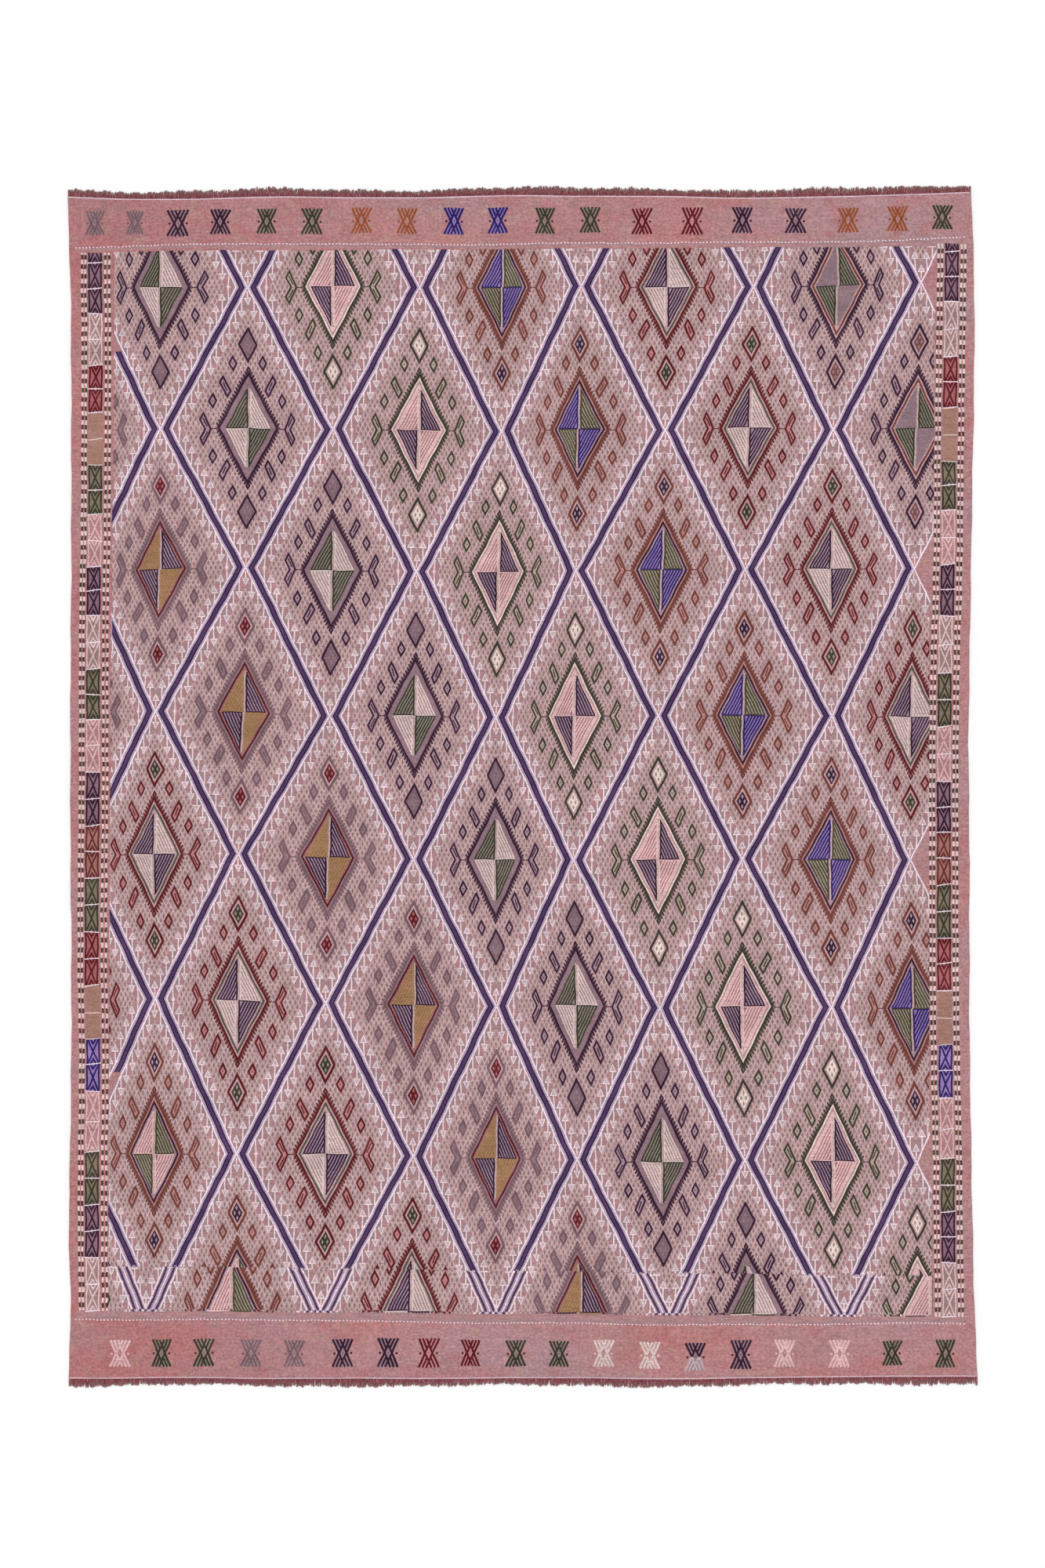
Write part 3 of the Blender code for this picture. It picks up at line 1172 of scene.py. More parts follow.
def net():
    """Floats that cross in small diamonds, with a dot in each."""
    half_length = ROW_PITCH - NET_INSET
    half_width = half_length * (COLUMN_PITCH - 2.0 * BAND_LINE_AT) / ROW_PITCH
    numbers = np.arange(-NET_LINES, NET_LINES + 1)
    rising, falling = (grid.ravel() for grid in np.meshgrid(numbers, numbers))

    def at(first, second):
        across = half_width * (first + second) / (2.0 * NET_LINES)
        along = half_length * (first - second) / (2.0 * NET_LINES)
        return np.column_stack([across, along])

    parts = []
    for part, step in (("net_rising", (1, 0)), ("net_falling", (0, 1))):
        starts = at(rising - NET_OVERLAP * step[0], falling - NET_OVERLAP * step[1])
        reach = 1.0 + NET_OVERLAP
        ends = at(rising + reach * step[0], falling + reach * step[1])
        middles = (starts + ends) / 2.0
        there = (rising + step[0] <= NET_LINES) & (falling + step[1] <= NET_LINES)
        there &= is_clear(middles[:, 0], middles[:, 1])
        parts.append((part, bars(starts[there], ends[there], NET_STITCH, RISES["net"])))
    dots = at(rising + 0.5, falling + 0.5)
    there = (rising < NET_LINES) & (falling < NET_LINES) & is_clear(dots[:, 0], dots[:, 1])
    parts.append(("net_dots", folded_dots(dots[there], *NET_DOT, RISES["net_dot"])))
    inset_across, inset_along = FIELD_GROUND_INSET
    grounds = {
        "net_ground": (half_width, half_length),
        "field_ground": (COLUMN_PITCH - inset_across, ROW_PITCH - inset_along),
    }
    for part, reach in grounds.items():
        ground = reversed(diamond((0.0, 0.0), *reach))
        parts.append((part, plate(ground, RISES[part], steps=GROUND_STEPS)))
    return parts


def comb():
    """The toothed outline of the medallion, with a knob beyond each end."""
    half_width, half_length = COMB_HALF
    outline = diamond((0, 0), half_width, half_length)
    parts = [
        ("comb", ribbon(outline, COMB_LINE, RISES["outline"], closed=True)),
        ("comb_halo", ribbon(outline, COMB_HALO, RISES["comb_halo"], closed=True)),
    ]
    teeth = itertools.product((-1, 1), (-1, 1), range(COMB_TEETH))
    for side, end, tooth in teeth:
        share = (tooth + TOOTH_START) / COMB_TEETH
        root = (side * half_width * (1.0 - share), end * half_length * share)
        tip = (root[0] + side * TOOTH[0], root[1] + end * TOOTH[1])
        parts.append(("comb", ribbon([root, tip], TOOTH_WIDTH, RISES["line"])))
    for end in (-1, 1):
        knob = diamond((0.0, end * KNOB_AT), *KNOB_HALF)
        parts.append(("comb", ribbon(knob, KNOB_LINE, RISES["line"], closed=True)))
    return parts


def quarter(part, side, end, stripe_width):
    """Stripes side by side in one quarter of the medallion, bars at its axis and its waist."""
    half_width, half_length = QUARTER_HALF
    axis = (PINWHEEL if end > 0 else -PINWHEEL) + side * AXIS_GAP
    inner = abs(side * half_width - axis)
    corners = [(axis, 0.0), (side * half_width, 0.0), (axis, end * half_length), (axis, 0.0)]
    if side * end < 0:
        corners = [corners[0], corners[2], corners[1], corners[3]]
    parts = [(part + "_ground", plate(corners, RISES["quarter_ground"], steps=6))]
    for stripe in range(STRIPES):
        share = 1.0 - (stripe * STRIPE_PITCH + stripe_width * STRIPE_INSET) / inner
        foot = (axis + side * inner * share, end * STRIPE_ENDS[0])
        head = (axis + side * STRIPE_ENDS[1], end * half_length * share)
        parts.append((part, ribbon([foot, head], stripe_width, RISES["stripe"])))
    bar = axis + side * AXIS_BAR * BAR_INSET
    span = [(bar, 0.0), (bar, end * half_length * AXIS_BAR_REACH)]
    parts.append((part, ribbon(span, AXIS_BAR, RISES["outline"])))
    waist = end * WAIST_BAR * BAR_INSET
    span = [(axis, waist), (axis + side * inner * WAIST_BAR_REACH, waist)]
    parts.append((part, ribbon(span, WAIST_BAR, RISES["outline"])))
    return parts


def medallion(a_stripe, b_stripe):
    parts = comb()
    whole = reversed(diamond((0, 0), *PLATE_HALF))
    parts.append(("plate", plate(whole, RISES["plate"], steps=8)))
    ring = diamond((0, 0), *RING_HALF)
    parts.append(("ring", ribbon(ring, RING_LINE, RISES["line"], closed=True)))
    ring = diamond((0, 0), *PALE_RING_HALF)
    parts.append(("pale_ring", ribbon(ring, PALE_RING_LINE, RISES["pale_ring"], closed=True)))
    for side, end in ((-1, 1), (1, -1), (1, 1), (-1, -1)):
        if side * end < 0:
            parts.extend(quarter("a", side, end, a_stripe))
        else:
            parts.extend(quarter("b", side, end, b_stripe))
    half = [(PINWHEEL, along) for along in PALE_AXIS]
    axis = half + [(-x, -y) for x, y in reversed(half)]
    parts.append(("pale_axis", ribbon(axis, PALE_AXIS_LINE, RISES["pale_axis"])))
    return parts


def mirrored(path):
    """The path in all four quarters of a diamond."""
    for side in (-1, 1):
        for end in (-1, 1):
            yield [(side * x, end * y) for x, y in path]


def outlined(outline, width=MOTIF_LINE):
    """A motif's outline, and a darker greyish band round it."""
    return [
        ("motif", ribbon(outline, width, RISES["outline"], closed=True)),
        ("halo", ribbon(outline, MOTIF_HALO, RISES["motif_halo"], closed=True)),
    ]


def small_motifs():
    parts = []
    away, half_width, half_length = END_DIAMOND
    for end in (-1, 1):
        middle = (0.0, end * away)
        outline = diamond(middle, half_width, half_length)
        parts.extend(outlined(outline, END_DIAMOND_LINE))
        share = END_DIAMOND_GROUND
        inside = reversed(diamond(middle, half_width * share, half_length * share))
        parts.append(("motif_ground", plate(inside, RISES["motif_ground"], steps=3)))
        inside = reversed(diamond(middle, *END_DIAMOND_FILL))
        parts.append(("motif_fill", plate(inside, RISES["end_diamond_fill"], steps=2)))
        across, along, *reach = END_LOZENGES
        for x, y in ((0.0, along), (-across, 0.0), (across, 0.0), (0.0, -along)):
            lozenge = reversed(diamond((x, y + end * away), *reach))
            parts.append(("motif_dots", plate(lozenge, RISES["lozenge"], steps=1)))
    for spot in SMALL_DIAMONDS:
        for (middle,) in mirrored([spot]):
            outline = diamond(middle, *SMALL_DIAMOND_HALF)
            parts.extend(outlined(outline))
            inside = plate(reversed(outline), RISES["motif_inside"], steps=1)
            parts.append(("motif_inside", inside))
            parts.append(("motif", beads([middle], *MOTIF_DOT, 0.0, RISES["line"], sides=6)))
    for outline in mirrored(LEAF):
        parts.extend(outlined(outline))
        inside = plate(outline, RISES["motif_inside"], steps=1)
        parts.append(("motif_inside", upward(inside)))
    for side in (-1, 1):
        outline = [(side * x, y) for x, y in CHEVRON]
        parts.extend(outlined(outline))
        for half in (outline[:4], [outline[0], *outline[3:]]):
            inside = plate(half, RISES["motif_inside"], steps=1)
            parts.append(("motif_inside", upward(inside)))
        link = [(side * x, 0.0) for x in CHEVRON_LINK]
        parts.append(("motif", ribbon(link, CHEVRON_LINK_WIDTH, RISES["line"])))
    for vein in (*mirrored(LEAF_VEIN), *mirrored(CHEVRON_VEIN)):
        parts.append(("motif", ribbon(vein, VEIN_LINE, RISES["line"])))
    drop = np.array([0.0, -MOTIF_DROP, 0.0])
    return [(name, (spots + drop, faces)) for name, (spots, faces) in parts]


def gathered(parts):
    """One patch for each part's name."""
    patches = {}
    for name, patch in parts:
        patches.setdefault(name, []).append(patch)
    return {name: joined(group) for name, group in patches.items()}


def scheme_yarns(scheme):
    """The yarn of every part of a diamond in this scheme."""
    comb_yarn, plate_yarn, ring, pale_ring, a, b, motif, fill, dots = SCHEMES[scheme]
    inside, around, comb_halo = MOTIF_GROUNDS[motif]
    return {
        "white": "rose_white",
        "arrow_fill": "ash",
        "stem_shade": "shade",
        "tip_patch": "dim_rose",
        "net_rising": "net_rising",
        "net_falling": "net_falling",
        "net_dots": "net_dots",
        "net_ground": "net_ground",
        "field_ground": "field_ground",
        "comb": comb_yarn,
        "plate": plate_yarn,
        "ring": ring,
        "pale_ring": pale_ring,
        "pale_axis": "axis",
        "a": a,
        "b": b,
        "a_ground": BETWEEN_STRIPES[a],
        "b_ground": BETWEEN_STRIPES[b],
        "motif": motif,
        "motif_ground": fill if fill == "dim_mauve" else "blush",
        "motif_inside": inside,
        "halo": around,
        "comb_halo": comb_halo,
        "motif_fill": fill,
        "motif_dots": dots,
    }


def weave_diamonds(brocade):
    around = gathered(arrows() + net() + small_motifs())
    widths = {True: LIGHT_STRIPE, False: DARK_STRIPE}
    medallions = {
        (a_light, b_light): gathered(medallion(widths[a_light], widths[b_light]))
        for a_light in widths
        for b_light in widths
    }
    for row in range(-1, len(LATTICE_ALONG)):
        for column in range(LAST_COLUMN + 1):
            if (column + row) % 2 == 0:
                continue
            scheme = EDGE_SCHEMES.get((column, row), column - row)
            while scheme not in SCHEMES:
                scheme += SCHEME_CYCLE if scheme < 0 else -SCHEME_CYCLE
            yarns = scheme_yarns(scheme)
            inside = medallions[yarns["a"] in LIGHT_YARNS, yarns["b"] in LIGHT_YARNS]
            for part, (spots, faces) in [*around.items(), *inside.items()]:
                placed = place_in_cell(spots, column, row)
                brocade.weave(yarns[part], (placed, faces))


# ------------------------------------------------------------------------- zigzag bands


def band_path(column, offset):
    """The middle line of the band between this column and the next, moved across."""
    path = []
    for row in range(-1, len(LATTICE_ALONG) + 1):
        if (column + row) % 2 == 0:
            x, y = NODES[column, row]
            path.append((x + BAND_OFFSET + offset, y))
        else:
            x, y = NODES[column + 1, row]
            path.append((x - BAND_OFFSET + offset, y))
    return path


def twists(path):
    """Slanted wraps of paler yarn along the core of a band."""
    spots = resampled(path, BAND_TWIST_PITCH)
    legs = np.gradient(spots, axis=0)
    angles = np.arctan2(legs[:, 1], legs[:, 0]) + BAND_TWIST_LEAN
    return beads(spots, *BAND_TWIST, angles, RISES["twist"], sides=6)


def without_gaps(patch, gaps):
    """The parts of a patch outside these stretches along the rug."""
    for low, high in gaps:
        patch = joined([cut(patch, (0.0, -1.0, low)), cut(patch, (0.0, 1.0, -high))])
    return patch


def weave_bands(brocade):
    for column in range(LAST_COLUMN + 1):
        only_line = column == LAST_COLUMN
        middle = band_path(column, 0.0)

        def line(offset, width, kind):
            return ribbon(band_path(column, offset), width, RISES[kind])

        whole = [("white", line(-BAND_LINE_AT, BAND_LINE, "stripe"))]
        torn = [("white", line(-BROKEN_LINE_AT, BAND_LINE, "stripe"))]
        if not only_line:
            whole.append(("white", line(BAND_LINE_AT, BAND_LINE, "stripe")))
            whole.append(("lavender", line(0.0, BAND_HALO, "band_halo")))
            whole.append(("indigo", line(0.0, BAND_CORE, "band_core")))
            whole.append(("violet_twist", twists(middle)))
            for side in (-BAND_EDGE_AT, BAND_EDGE_AT):
                whole.append(("band_edge", line(side, BAND_EDGE, "band_edge")))
            torn.append(("white", line(BROKEN_LINE_AT, BAND_LINE, "stripe")))
            torn.append(("lilac_grey", line(0.0, BROKEN_HALO, "band_halo")))
            torn.append(("white", line(0.0, BROKEN_MIDDLE, "outline")))
            for side in (-BROKEN_STRIPE_AT, BROKEN_STRIPE_AT):
                torn.append(("indigo", line(side, BROKEN_STRIPE, "band_core")))
        for yarn, patch in whole:
            if column == 0 and yarn != "white":
                patch = without_gaps(patch, EDGE_BAND_GAPS)
            for part in split_rows(patch):
                brocade.weave_over(yarn, part)
        for yarn, patch in torn:
            brocade.weave_broken(yarn, patch)
        if not only_line:
            weave_restart(brocade, middle)


def weave_restart(brocade, middle):
    """The floats that fasten a band's yarn off over the break, and start it again under it."""
    path = resampled(middle, BREAK_SEARCH_STEP)
    for place, (yarn, reach, width, way) in zip((path, broken(path)), BREAK_FLOATS):
        off = np.abs(place[:, 1] - along_line(BREAK, place[:, 0]) - way * BREAK_FLOAT_AT)
        x, y = place[np.argmin(off)]
        brocade.add(yarn, ribbon([(x - reach, y), (x + reach, y)], width, RISES["break"]))


def split_rows(patch):
    """Cuts a long patch at each lattice row, so that the field's edges fit each part."""
    parts = []
    rest = patch
    for _ in LATTICE_ALONG[1:]:
        level = rest[0][:, 1].max() - ROW_PITCH
        parts.append(cut(rest, (0.0, 1.0, -level)))
        rest = cut(rest, (0.0, -1.0, level))
        if not len(rest[1]):
            return parts
    parts.append(rest)
    return parts


# ------------------------------------------------------------------------- side columns


def column_tops(side):
    """The colour, top and bottom of each block in a column: side 0 is left and 1 is right."""
    index = 1 + 2 * side
    tops = [(row[0], top) for row in BLOCKS for top in row[index : index + 2]]
    bottoms = [top for _, top in tops[1:]] + [BLOCK_ENDS[side][1]]
    blocks = [("purple", BLOCK_ENDS[side][0], tops[0][1])]
    blocks.extend((colour, top, bottom) for (colour, top), bottom in zip(tops, bottoms))
    return blocks


def block(brocade, colour, middle, top, bottom, partial):
    """One checked block: bars at its sides, a cross, and a chevron at each end."""
    half = BLOCK_HALF
    light = colour in ("cream", "pink")
    corners = [(middle - half, bottom), (middle + half, bottom), (middle + half, top)]
    corners.append((middle - half, top))
    colour, ground = BLOCK_YARNS[colour]
    brocade.add(ground, plate(corners, RISES["block_ground"], steps=4))
    if colour == ground:
        return
    slim = LIGHT_BLOCK_LINES if light else 1.0
    bar = BLOCK_BAR * slim
    for side in (-1, 1):
        x = middle + side * (half - bar / 2.0)
        brocade.add(colour, ribbon([(x, bottom), (x, top)], bar, RISES["line"]))
    inner = half - bar * BLOCK_BAR_SHARE
    full = PART_BLOCK_LENGTH if partial else top - bottom
    ends = ((bottom, 1.0),) if partial else ((bottom, 1.0), (top, -1.0))
    for side in (-1, 1):
        path = np.array([(middle - side * inner, bottom), (middle + side * inner, bottom + full)])
        line = ribbon(path, BLOCK_X * slim, RISES["outline"])
        brocade.add(colour, cut(line, (0.0, -1.0, top)))
    for end, way in ends:
        reach, depth = BLOCK_CHEVRON
        path = [(middle - reach, end), (middle, end + way * depth), (middle + reach, end)]
        line = ribbon(path, BLOCK_CHEVRON_LINE * slim, RISES["line"])
        brocade.add(colour, cut(cut(line, (0.0, 1.0, -bottom)), (0.0, -1.0, top)))


def weave_columns(brocade):
    for side in (0, 1):
        for number, (colour, top, bottom) in enumerate(column_tops(side)):
            middle = float(follow(COLUMN_MIDDLES, 1 + side, (top + bottom) / 2.0))
            block(brocade, colour, middle, top, bottom, partial=number == 0)
            lean, swing, turn = PARTING_SLANT
            slant = lean + swing * math.sin(number * turn + side)
            reach = BLOCK_HALF + PARTING_OVERHANG
            path = [(middle - reach, bottom - slant), (middle + reach, bottom + slant)]
            yarn = "cream" if colour == "brown" else "white"
            brocade.add(yarn, ribbon(path, PARTING_WIDTH, RISES["parting"]))
        weave_chains(brocade, side)


def weave_chains(brocade, side):
    """Light and dark checks in turn, in two pairs of chains beside a column."""
    top, bottom = BLOCK_ENDS[side]
    dark_share, light_share = CHECK_SHARES
    draw = np.random.default_rng(PATTERN_SEED + side)
    numbers = range(int(CHECK_PLACES[0][0]), int(CHECK_PLACES[-1][0]))
    for number in numbers:
        place = follow(CHECK_PLACES, 1 + side, number)
        below = follow(CHECK_PLACES, 1 + side, number + 1)
        pitch = place - below
        for pair in (CHAINS[:2], CHAINS[2:]):
            dark = DARK_CHECKS[draw.integers(len(DARK_CHECKS))]
            checks = ((dark, place, dark_share), ("light_check", place - pitch / 2.0, light_share))
            for (yarn, centre, share), chain in itertools.product(checks, pair):
                high = min(centre + pitch * share / 2.0, top)
                low = max(centre - pitch * share / 2.0, bottom)
                if high - low < CHAIN_WIDTH / 2.0:
                    continue
                middle = follow(COLUMN_MIDDLES, 1 + side, centre) + chain[side]
                sway = draw.uniform(-CHECK_SWAY, CHECK_SWAY)
                path = [(middle + sway, high), (middle - sway, low)]
                brocade.add(yarn, ribbon(path, CHAIN_WIDTH, RISES["outline"]))


# ------------------------------------------------------------------------- end panels


def hourglass(brocade, spot, width, length, colour, lower_colour):
    """Six crossed lines that make an hourglass with an open heart, and a dot at each side."""
    across, along = spot
    half = length / 2.0
    outer, _, inner = (share * width for share in HOURGLASS_STARTS)
    slope = -(outer + inner) / length
    ground = HOURGLASS_GROUNDS.get(colour)
    for way in (-1, 1) if ground else ():
        end = along + way * half
        shoulder, waist = (way * width * share for share in HOURGLASS_GROUND_SHARES)
        corners = [(across - shoulder, end), (across + shoulder, end)]
        corners.extend([(across + waist, along), (across - waist, along)])
        brocade.add(ground, plate(corners[::-1], RISES["hourglass_ground"], steps=2))
    for side, (number, start) in itertools.product((-1, 1), enumerate(HOURGLASS_STARTS)):
        top = np.array([across + side * start * width, along + half])
        direction = np.array([side * slope, -1.0])
        stops = [(0.0, length)]
        if number == 1:
            gap = HOURGLASS_HEART
            stops = [(0.0, half - gap), (half + gap, length)]
        for begin, finish in stops:
            path = [top + direction * begin, top + direction * finish]
            line = ribbon(path, HOURGLASS_LINE, RISES["line"])
            brocade.add(colour, cut(line, (0.0, 1.0, -along)))
            brocade.add(lower_colour, cut(line, (0.0, -1.0, along)))
    share, drop = HOURGLASS_DOT_AT
    dots = [(across + side * width * share, along + drop) for side in (-1, 1)]
    brocade.add(colour, beads(dots, *HOURGLASS_DOT, 0.0, RISES["outline"], sides=6))
    brocade.add(colour, beads([spot], *HOURGLASS_CENTRE, 0.0, RISES["line"], sides=6))


def weave_ends(brocade):
    for across, along, width, length, colour in HEAD_HOURGLASSES + FOOT_HOURGLASSES:
        lower = MENDED_HOURGLASS[2] if (across, along) == MENDED_HOURGLASS[:2] else colour
        hourglass(brocade, (across, along), width, length, colour, lower)
    draw = np.random.default_rng(PATTERN_SEED)
    for index, way in ((1, -1.0), (2, 1.0)):
        weave_dotted_row(brocade, index, way, draw)


def weave_dotted_row(brocade, index, way, draw):
    """The dots in this column of their table, and the hatched wefts on the field's side of them."""
    start, stop = DOTTED_ROWS[0][0], DOTTED_ROWS[-1][0]
    across = np.arange(start, stop, DOT_PITCH)
    stray_across, stray_along = DOT_STRAY
    across = across + draw.uniform(-stray_across, stray_across, len(across))
    stray = draw.uniform(-stray_along, stray_along, len(across))
    spots = np.column_stack([across, follow(DOTTED_ROWS, index, across) + stray])
    brocade.add("white", beads(spots, *DOT_HALF, DOT_LEAN, RISES["dot"], sides=6))
    depth = HATCH_DEPTHS[index - 1]
    low, high = sorted((way * ROW_GROUND_INSET, way * depth))
    for left, right in itertools.pairwise(DOTTED_ROWS):
        corners = [(left[0], left[index] + low), (right[0], right[index] + low)]
        corners.extend([(right[0], right[index] + high), (left[0], left[index] + high)])
        ground = plate(corners, RISES["field_ground"], steps=ROW_GROUND_STEPS)
        brocade.add("field_ground", ground)
    inset, from_dots = HATCH_INSET
    hatch = np.arange(start + inset, stop - inset, HATCH_PITCH)
    near = follow(DOTTED_ROWS, index, hatch) + way * from_dots
    starts = np.column_stack([hatch, near])
    ends = np.column_stack([hatch + depth * HATCH_SLANT, near + way * depth])
    brocade.add("dusty", stitches(starts, ends, HATCH_WIDTH, RISES["hatch"]))
    aside, beyond = (depth * share for share in FLECK_AT)
    flecks = np.column_stack([hatch + aside, near + way * beyond])
    flecks = flecks[draw.uniform(0.0, 1.0, len(flecks)) < FLECK_SHARE]
    brocade.add("net_rising", beads(flecks, *FLECK_HALF, 0.0, RISES["fleck"], sides=6))


# ------------------------------------------------------------------------- materials


def linear(channel):
    share = channel / 255.0
    return share / 12.92 if share <= 0.04045 else ((share + 0.055) / 1.055) ** 2.4


def tint(name, light=1.0):
    red, green, blue = (linear(channel) * light for channel in COLOURS[name])
    return red, green, blue, 1.0


class Shading:
    """Short calls that add and link the nodes of one material."""

    def __init__(self, name):
        self.material = bpy.data.materials.new(name)
        self.material.use_nodes = True
        self.tree = self.material.node_tree
        self.shader = self.tree.nodes["Principled BSDF"]
        self.coordinates = self.add("ShaderNodeTexCoord").outputs["Object"]

    def add(self, kind, **settings):
        node = self.tree.nodes.new(kind)
        for name, value in settings.items():
            setattr(node, name, value)
        return node

    def connect(self, source, socket):
        """Sets a socket to a plain value, or links it to the source socket."""
        if isinstance(source, (int, float, tuple)):
            socket.default_value = source
        else:
            self.tree.links.new(source, socket)

    def scaled(self, across, along, height):
        node = self.add("ShaderNodeMapping")
        self.connect(self.coordinates, node.inputs["Vector"])
        node.inputs["Scale"].default_value = (across, along, height)
        return node.outputs["Vector"]

    def noise(self, across, along, detail=2.0):
        """Noise with that many spots a metre across and along."""
        node = self.add("ShaderNodeTexNoise")
        self.connect(self.scaled(across, along, min(across, along)), node.inputs["Vector"])
        node.inputs["Scale"].default_value = 1.0
        node.inputs["Detail"].default_value = detail
        node.inputs["Roughness"].default_value = 0.55
        return node.outputs["Fac"]

    def threads(self, per_metre, direction):
        """Ridges of a thread, from 0 between two to 1 on top."""
        node = self.add("ShaderNodeTexWave", wave_type="BANDS", bands_direction=direction)
        self.connect(self.coordinates, node.inputs["Vector"])
        node.inputs["Scale"].default_value = per_metre * math.pi / 10.0
        node.inputs["Distortion"].default_value = 0.6
        node.inputs["Detail"].default_value = 1.0
        node.inputs["Detail Scale"].default_value = 0.4
        return node.outputs["Fac"]

    def nearness(self, spot, reach, strength):
        """From the strength at a spot, in metres, down to nothing at its reach."""
        node = self.add("ShaderNodeVectorMath", operation="DISTANCE")
        self.connect(self.coordinates, node.inputs[0])
        node.inputs[1].default_value = (*spot, 0.0)
        return self.spread(node.outputs["Value"], 0.0, reach, strength, 0.0)

    def spread(self, source, low, high, to_low, to_high):
        """The source's reach from low to high, mapped to another reach and held to it."""
        node = self.add("ShaderNodeMapRange", clamp=True)
        self.connect(source, node.inputs["Value"])
        ends = {"From Min": low, "From Max": high, "To Min": to_low, "To Max": to_high}
        for name, value in ends.items():
            node.inputs[name].default_value = value
        return node.outputs["Result"]

    def maths(self, operation, first, second):
        node = self.add("ShaderNodeMath", operation=operation)
        for source, socket in zip((first, second), node.inputs):
            self.connect(source, socket)
        return node.outputs["Value"]

    def blend(self, share, first, second):
        """Mixes two colours; each is a colour or a socket."""
        node = self.add("ShaderNodeMix", data_type="RGBA", blend_type="MIX")
        sockets = [socket for socket in node.inputs if socket.type == "RGBA"]
        for source, socket in zip((first, second), sockets):
            self.connect(source, socket)
        self.connect(share, node.inputs["Factor"])
        return next(socket for socket in node.outputs if socket.type == "RGBA")

    def patched(self, ground, colour, across, along, detail, low, high, strength):
        """The ground with patches of another colour, where the noise is high."""
        share = self.spread(self.noise(across, along, detail), low, high, 0.0, strength)
        return self.blend(share, ground, tint(colour))

    def tone(self, tones):
        """How light it is at each place, as the product of all the tones of a table."""
        product = 1.0
        for across, along, detail, low, high, dark, light in tones:
            noise = self.noise(across, along, detail)
            factor = self.spread(noise, low, high, dark, light)
            product = self.maths("MULTIPLY", product, factor)
        return product

    def toned(self, colour, factor):
        """A colour, or a colour's socket, made lighter or darker by a factor socket."""
        node = self.add("ShaderNodeVectorMath", operation="SCALE")
        self.connect(colour, node.inputs[0])
        self.connect(factor, node.inputs["Scale"])
        return node.outputs["Vector"]

    def bump(self, height, strength, distance):
        node = self.add("ShaderNodeBump")
        self.connect(height, node.inputs["Height"])
        node.inputs["Strength"].default_value = strength
        node.inputs["Distance"].default_value = distance
        self.connect(node.outputs["Normal"], self.shader.inputs["Normal"])

    def finish(self, colour, roughness, sheen):
        self.connect(colour, self.shader.inputs["Base Color"])
        self.shader.inputs["Roughness"].default_value = roughness
        self.shader.inputs["Sheen Weight"].default_value = sheen
        self.shader.inputs["Sheen Roughness"].default_value = 0.5
        self.shader.inputs["Specular IOR Level"].default_value = 0.1
        return self.material


def yarn_material(name, colour, wear=USUAL_WEAR):
    """Dyed wool: abrash from weft to weft, fibres that catch the light, and a plied twist."""
    shading = Shading(name)
    fresh = tint(colour)
    worn_to, across, along = wear
    share = shading.spread(shading.noise(across, along), 0.38, 0.72, 0.0, 1.0)
    if worn_to:
        share = shading.maths("MULTIPLY", share, 0.5)
        worn = tint(worn_to)
    else:
        pairs = zip(fresh[:3], tint("blush"))
        worn = (*(own * FADED_LIGHT + FADED_BLUSH * rose for own, rose in pairs), 1.0)
    dyed = shading.blend(share, fresh, worn)
    ply = shading.threads(PLIES_A_METRE, "DIAGONAL")
    fuzz = shading.noise(YARN_FUZZ, YARN_FUZZ)
    shading.bump(shading.maths("ADD", ply, fuzz), strength=0.45, distance=0.0004)
    toned = shading.toned(dyed, shading.tone(YARN_TONES))
    return shading.finish(toned, roughness=0.93, sheen=0.02)


def cloth_material():
    """Rose plain weave with bands of stronger and weaker dye, and redder stains."""
    shading = Shading("rose_plain_weave")
    ground = tint("salmon")
    for patch in CLOTH_PATCHES[:2]:
        ground = shading.patched(ground, *patch)
    for spot, reach, strength in CLOTH_STAINS:
        near = shading.nearness(spot, reach, strength)
        ground = shading.blend(near, ground, tint("deep_rose"))
    for patch in CLOTH_PATCHES[2:]:
        ground = shading.patched(ground, *patch)
    tone = shading.tone(CLOTH_TONES)
    over = shading.threads(THREADS_A_METRE, "Y")
    under = shading.threads(THREADS_A_METRE, "X")
    weave = shading.maths("MAXIMUM", over, shading.maths("MULTIPLY", under, WARP_SHARE))
    shadow = shading.spread(weave, 0.2, 1.0, 0.86, 1.04)
    colour = shading.toned(ground, shading.maths("MULTIPLY", tone, shadow))
    fuzz = shading.noise(CLOTH_FUZZ, CLOTH_FUZZ)
    shading.bump(shading.maths("ADD", weave, fuzz), strength=0.5, distance=0.0005)
    return shading.finish(colour, roughness=0.95, sheen=0.08)


def fringe_material():
    """Wine-red warp ends: some strands darker or paler, and all dull and brownish at the tip."""
    shading = Shading("wine_warp_ends")
    deep = shading.spread(shading.noise(420.0, 60.0, 3.0), 0.42, 0.62, 0.85, 0.0)
    colour = shading.blend(deep, tint("wine"), tint("dark_wine"))
    colour = shading.patched(colour, "pale_wine", 560.0, 90.0, 2.0, 0.55, 0.75, 0.8)
    reach = shading.add("ShaderNodeAttribute", attribute_name="reach")
    worn = shading.spread(reach.outputs["Fac"], 0.35, 1.0, 0.0, 0.8)
    colour = shading.blend(worn, colour, tint("dull_wine"))
    shading.bump(shading.noise(1500.0, 500.0), strength=0.5, distance=0.0004)
    return shading.finish(colour, roughness=0.95, sheen=0.1)


def floor_material():
    """A plain pale floor with a very faint unevenness."""
    shading = Shading("pale_floor")
    tone = shading.spread(shading.noise(0.8, 0.8), 0.3, 0.7, 0.985, 1.0)
    return shading.finish(shading.toned(FLOOR_COLOUR, tone), roughness=0.9, sheen=0.0)


# ------------------------------------------------------------------------- meshes


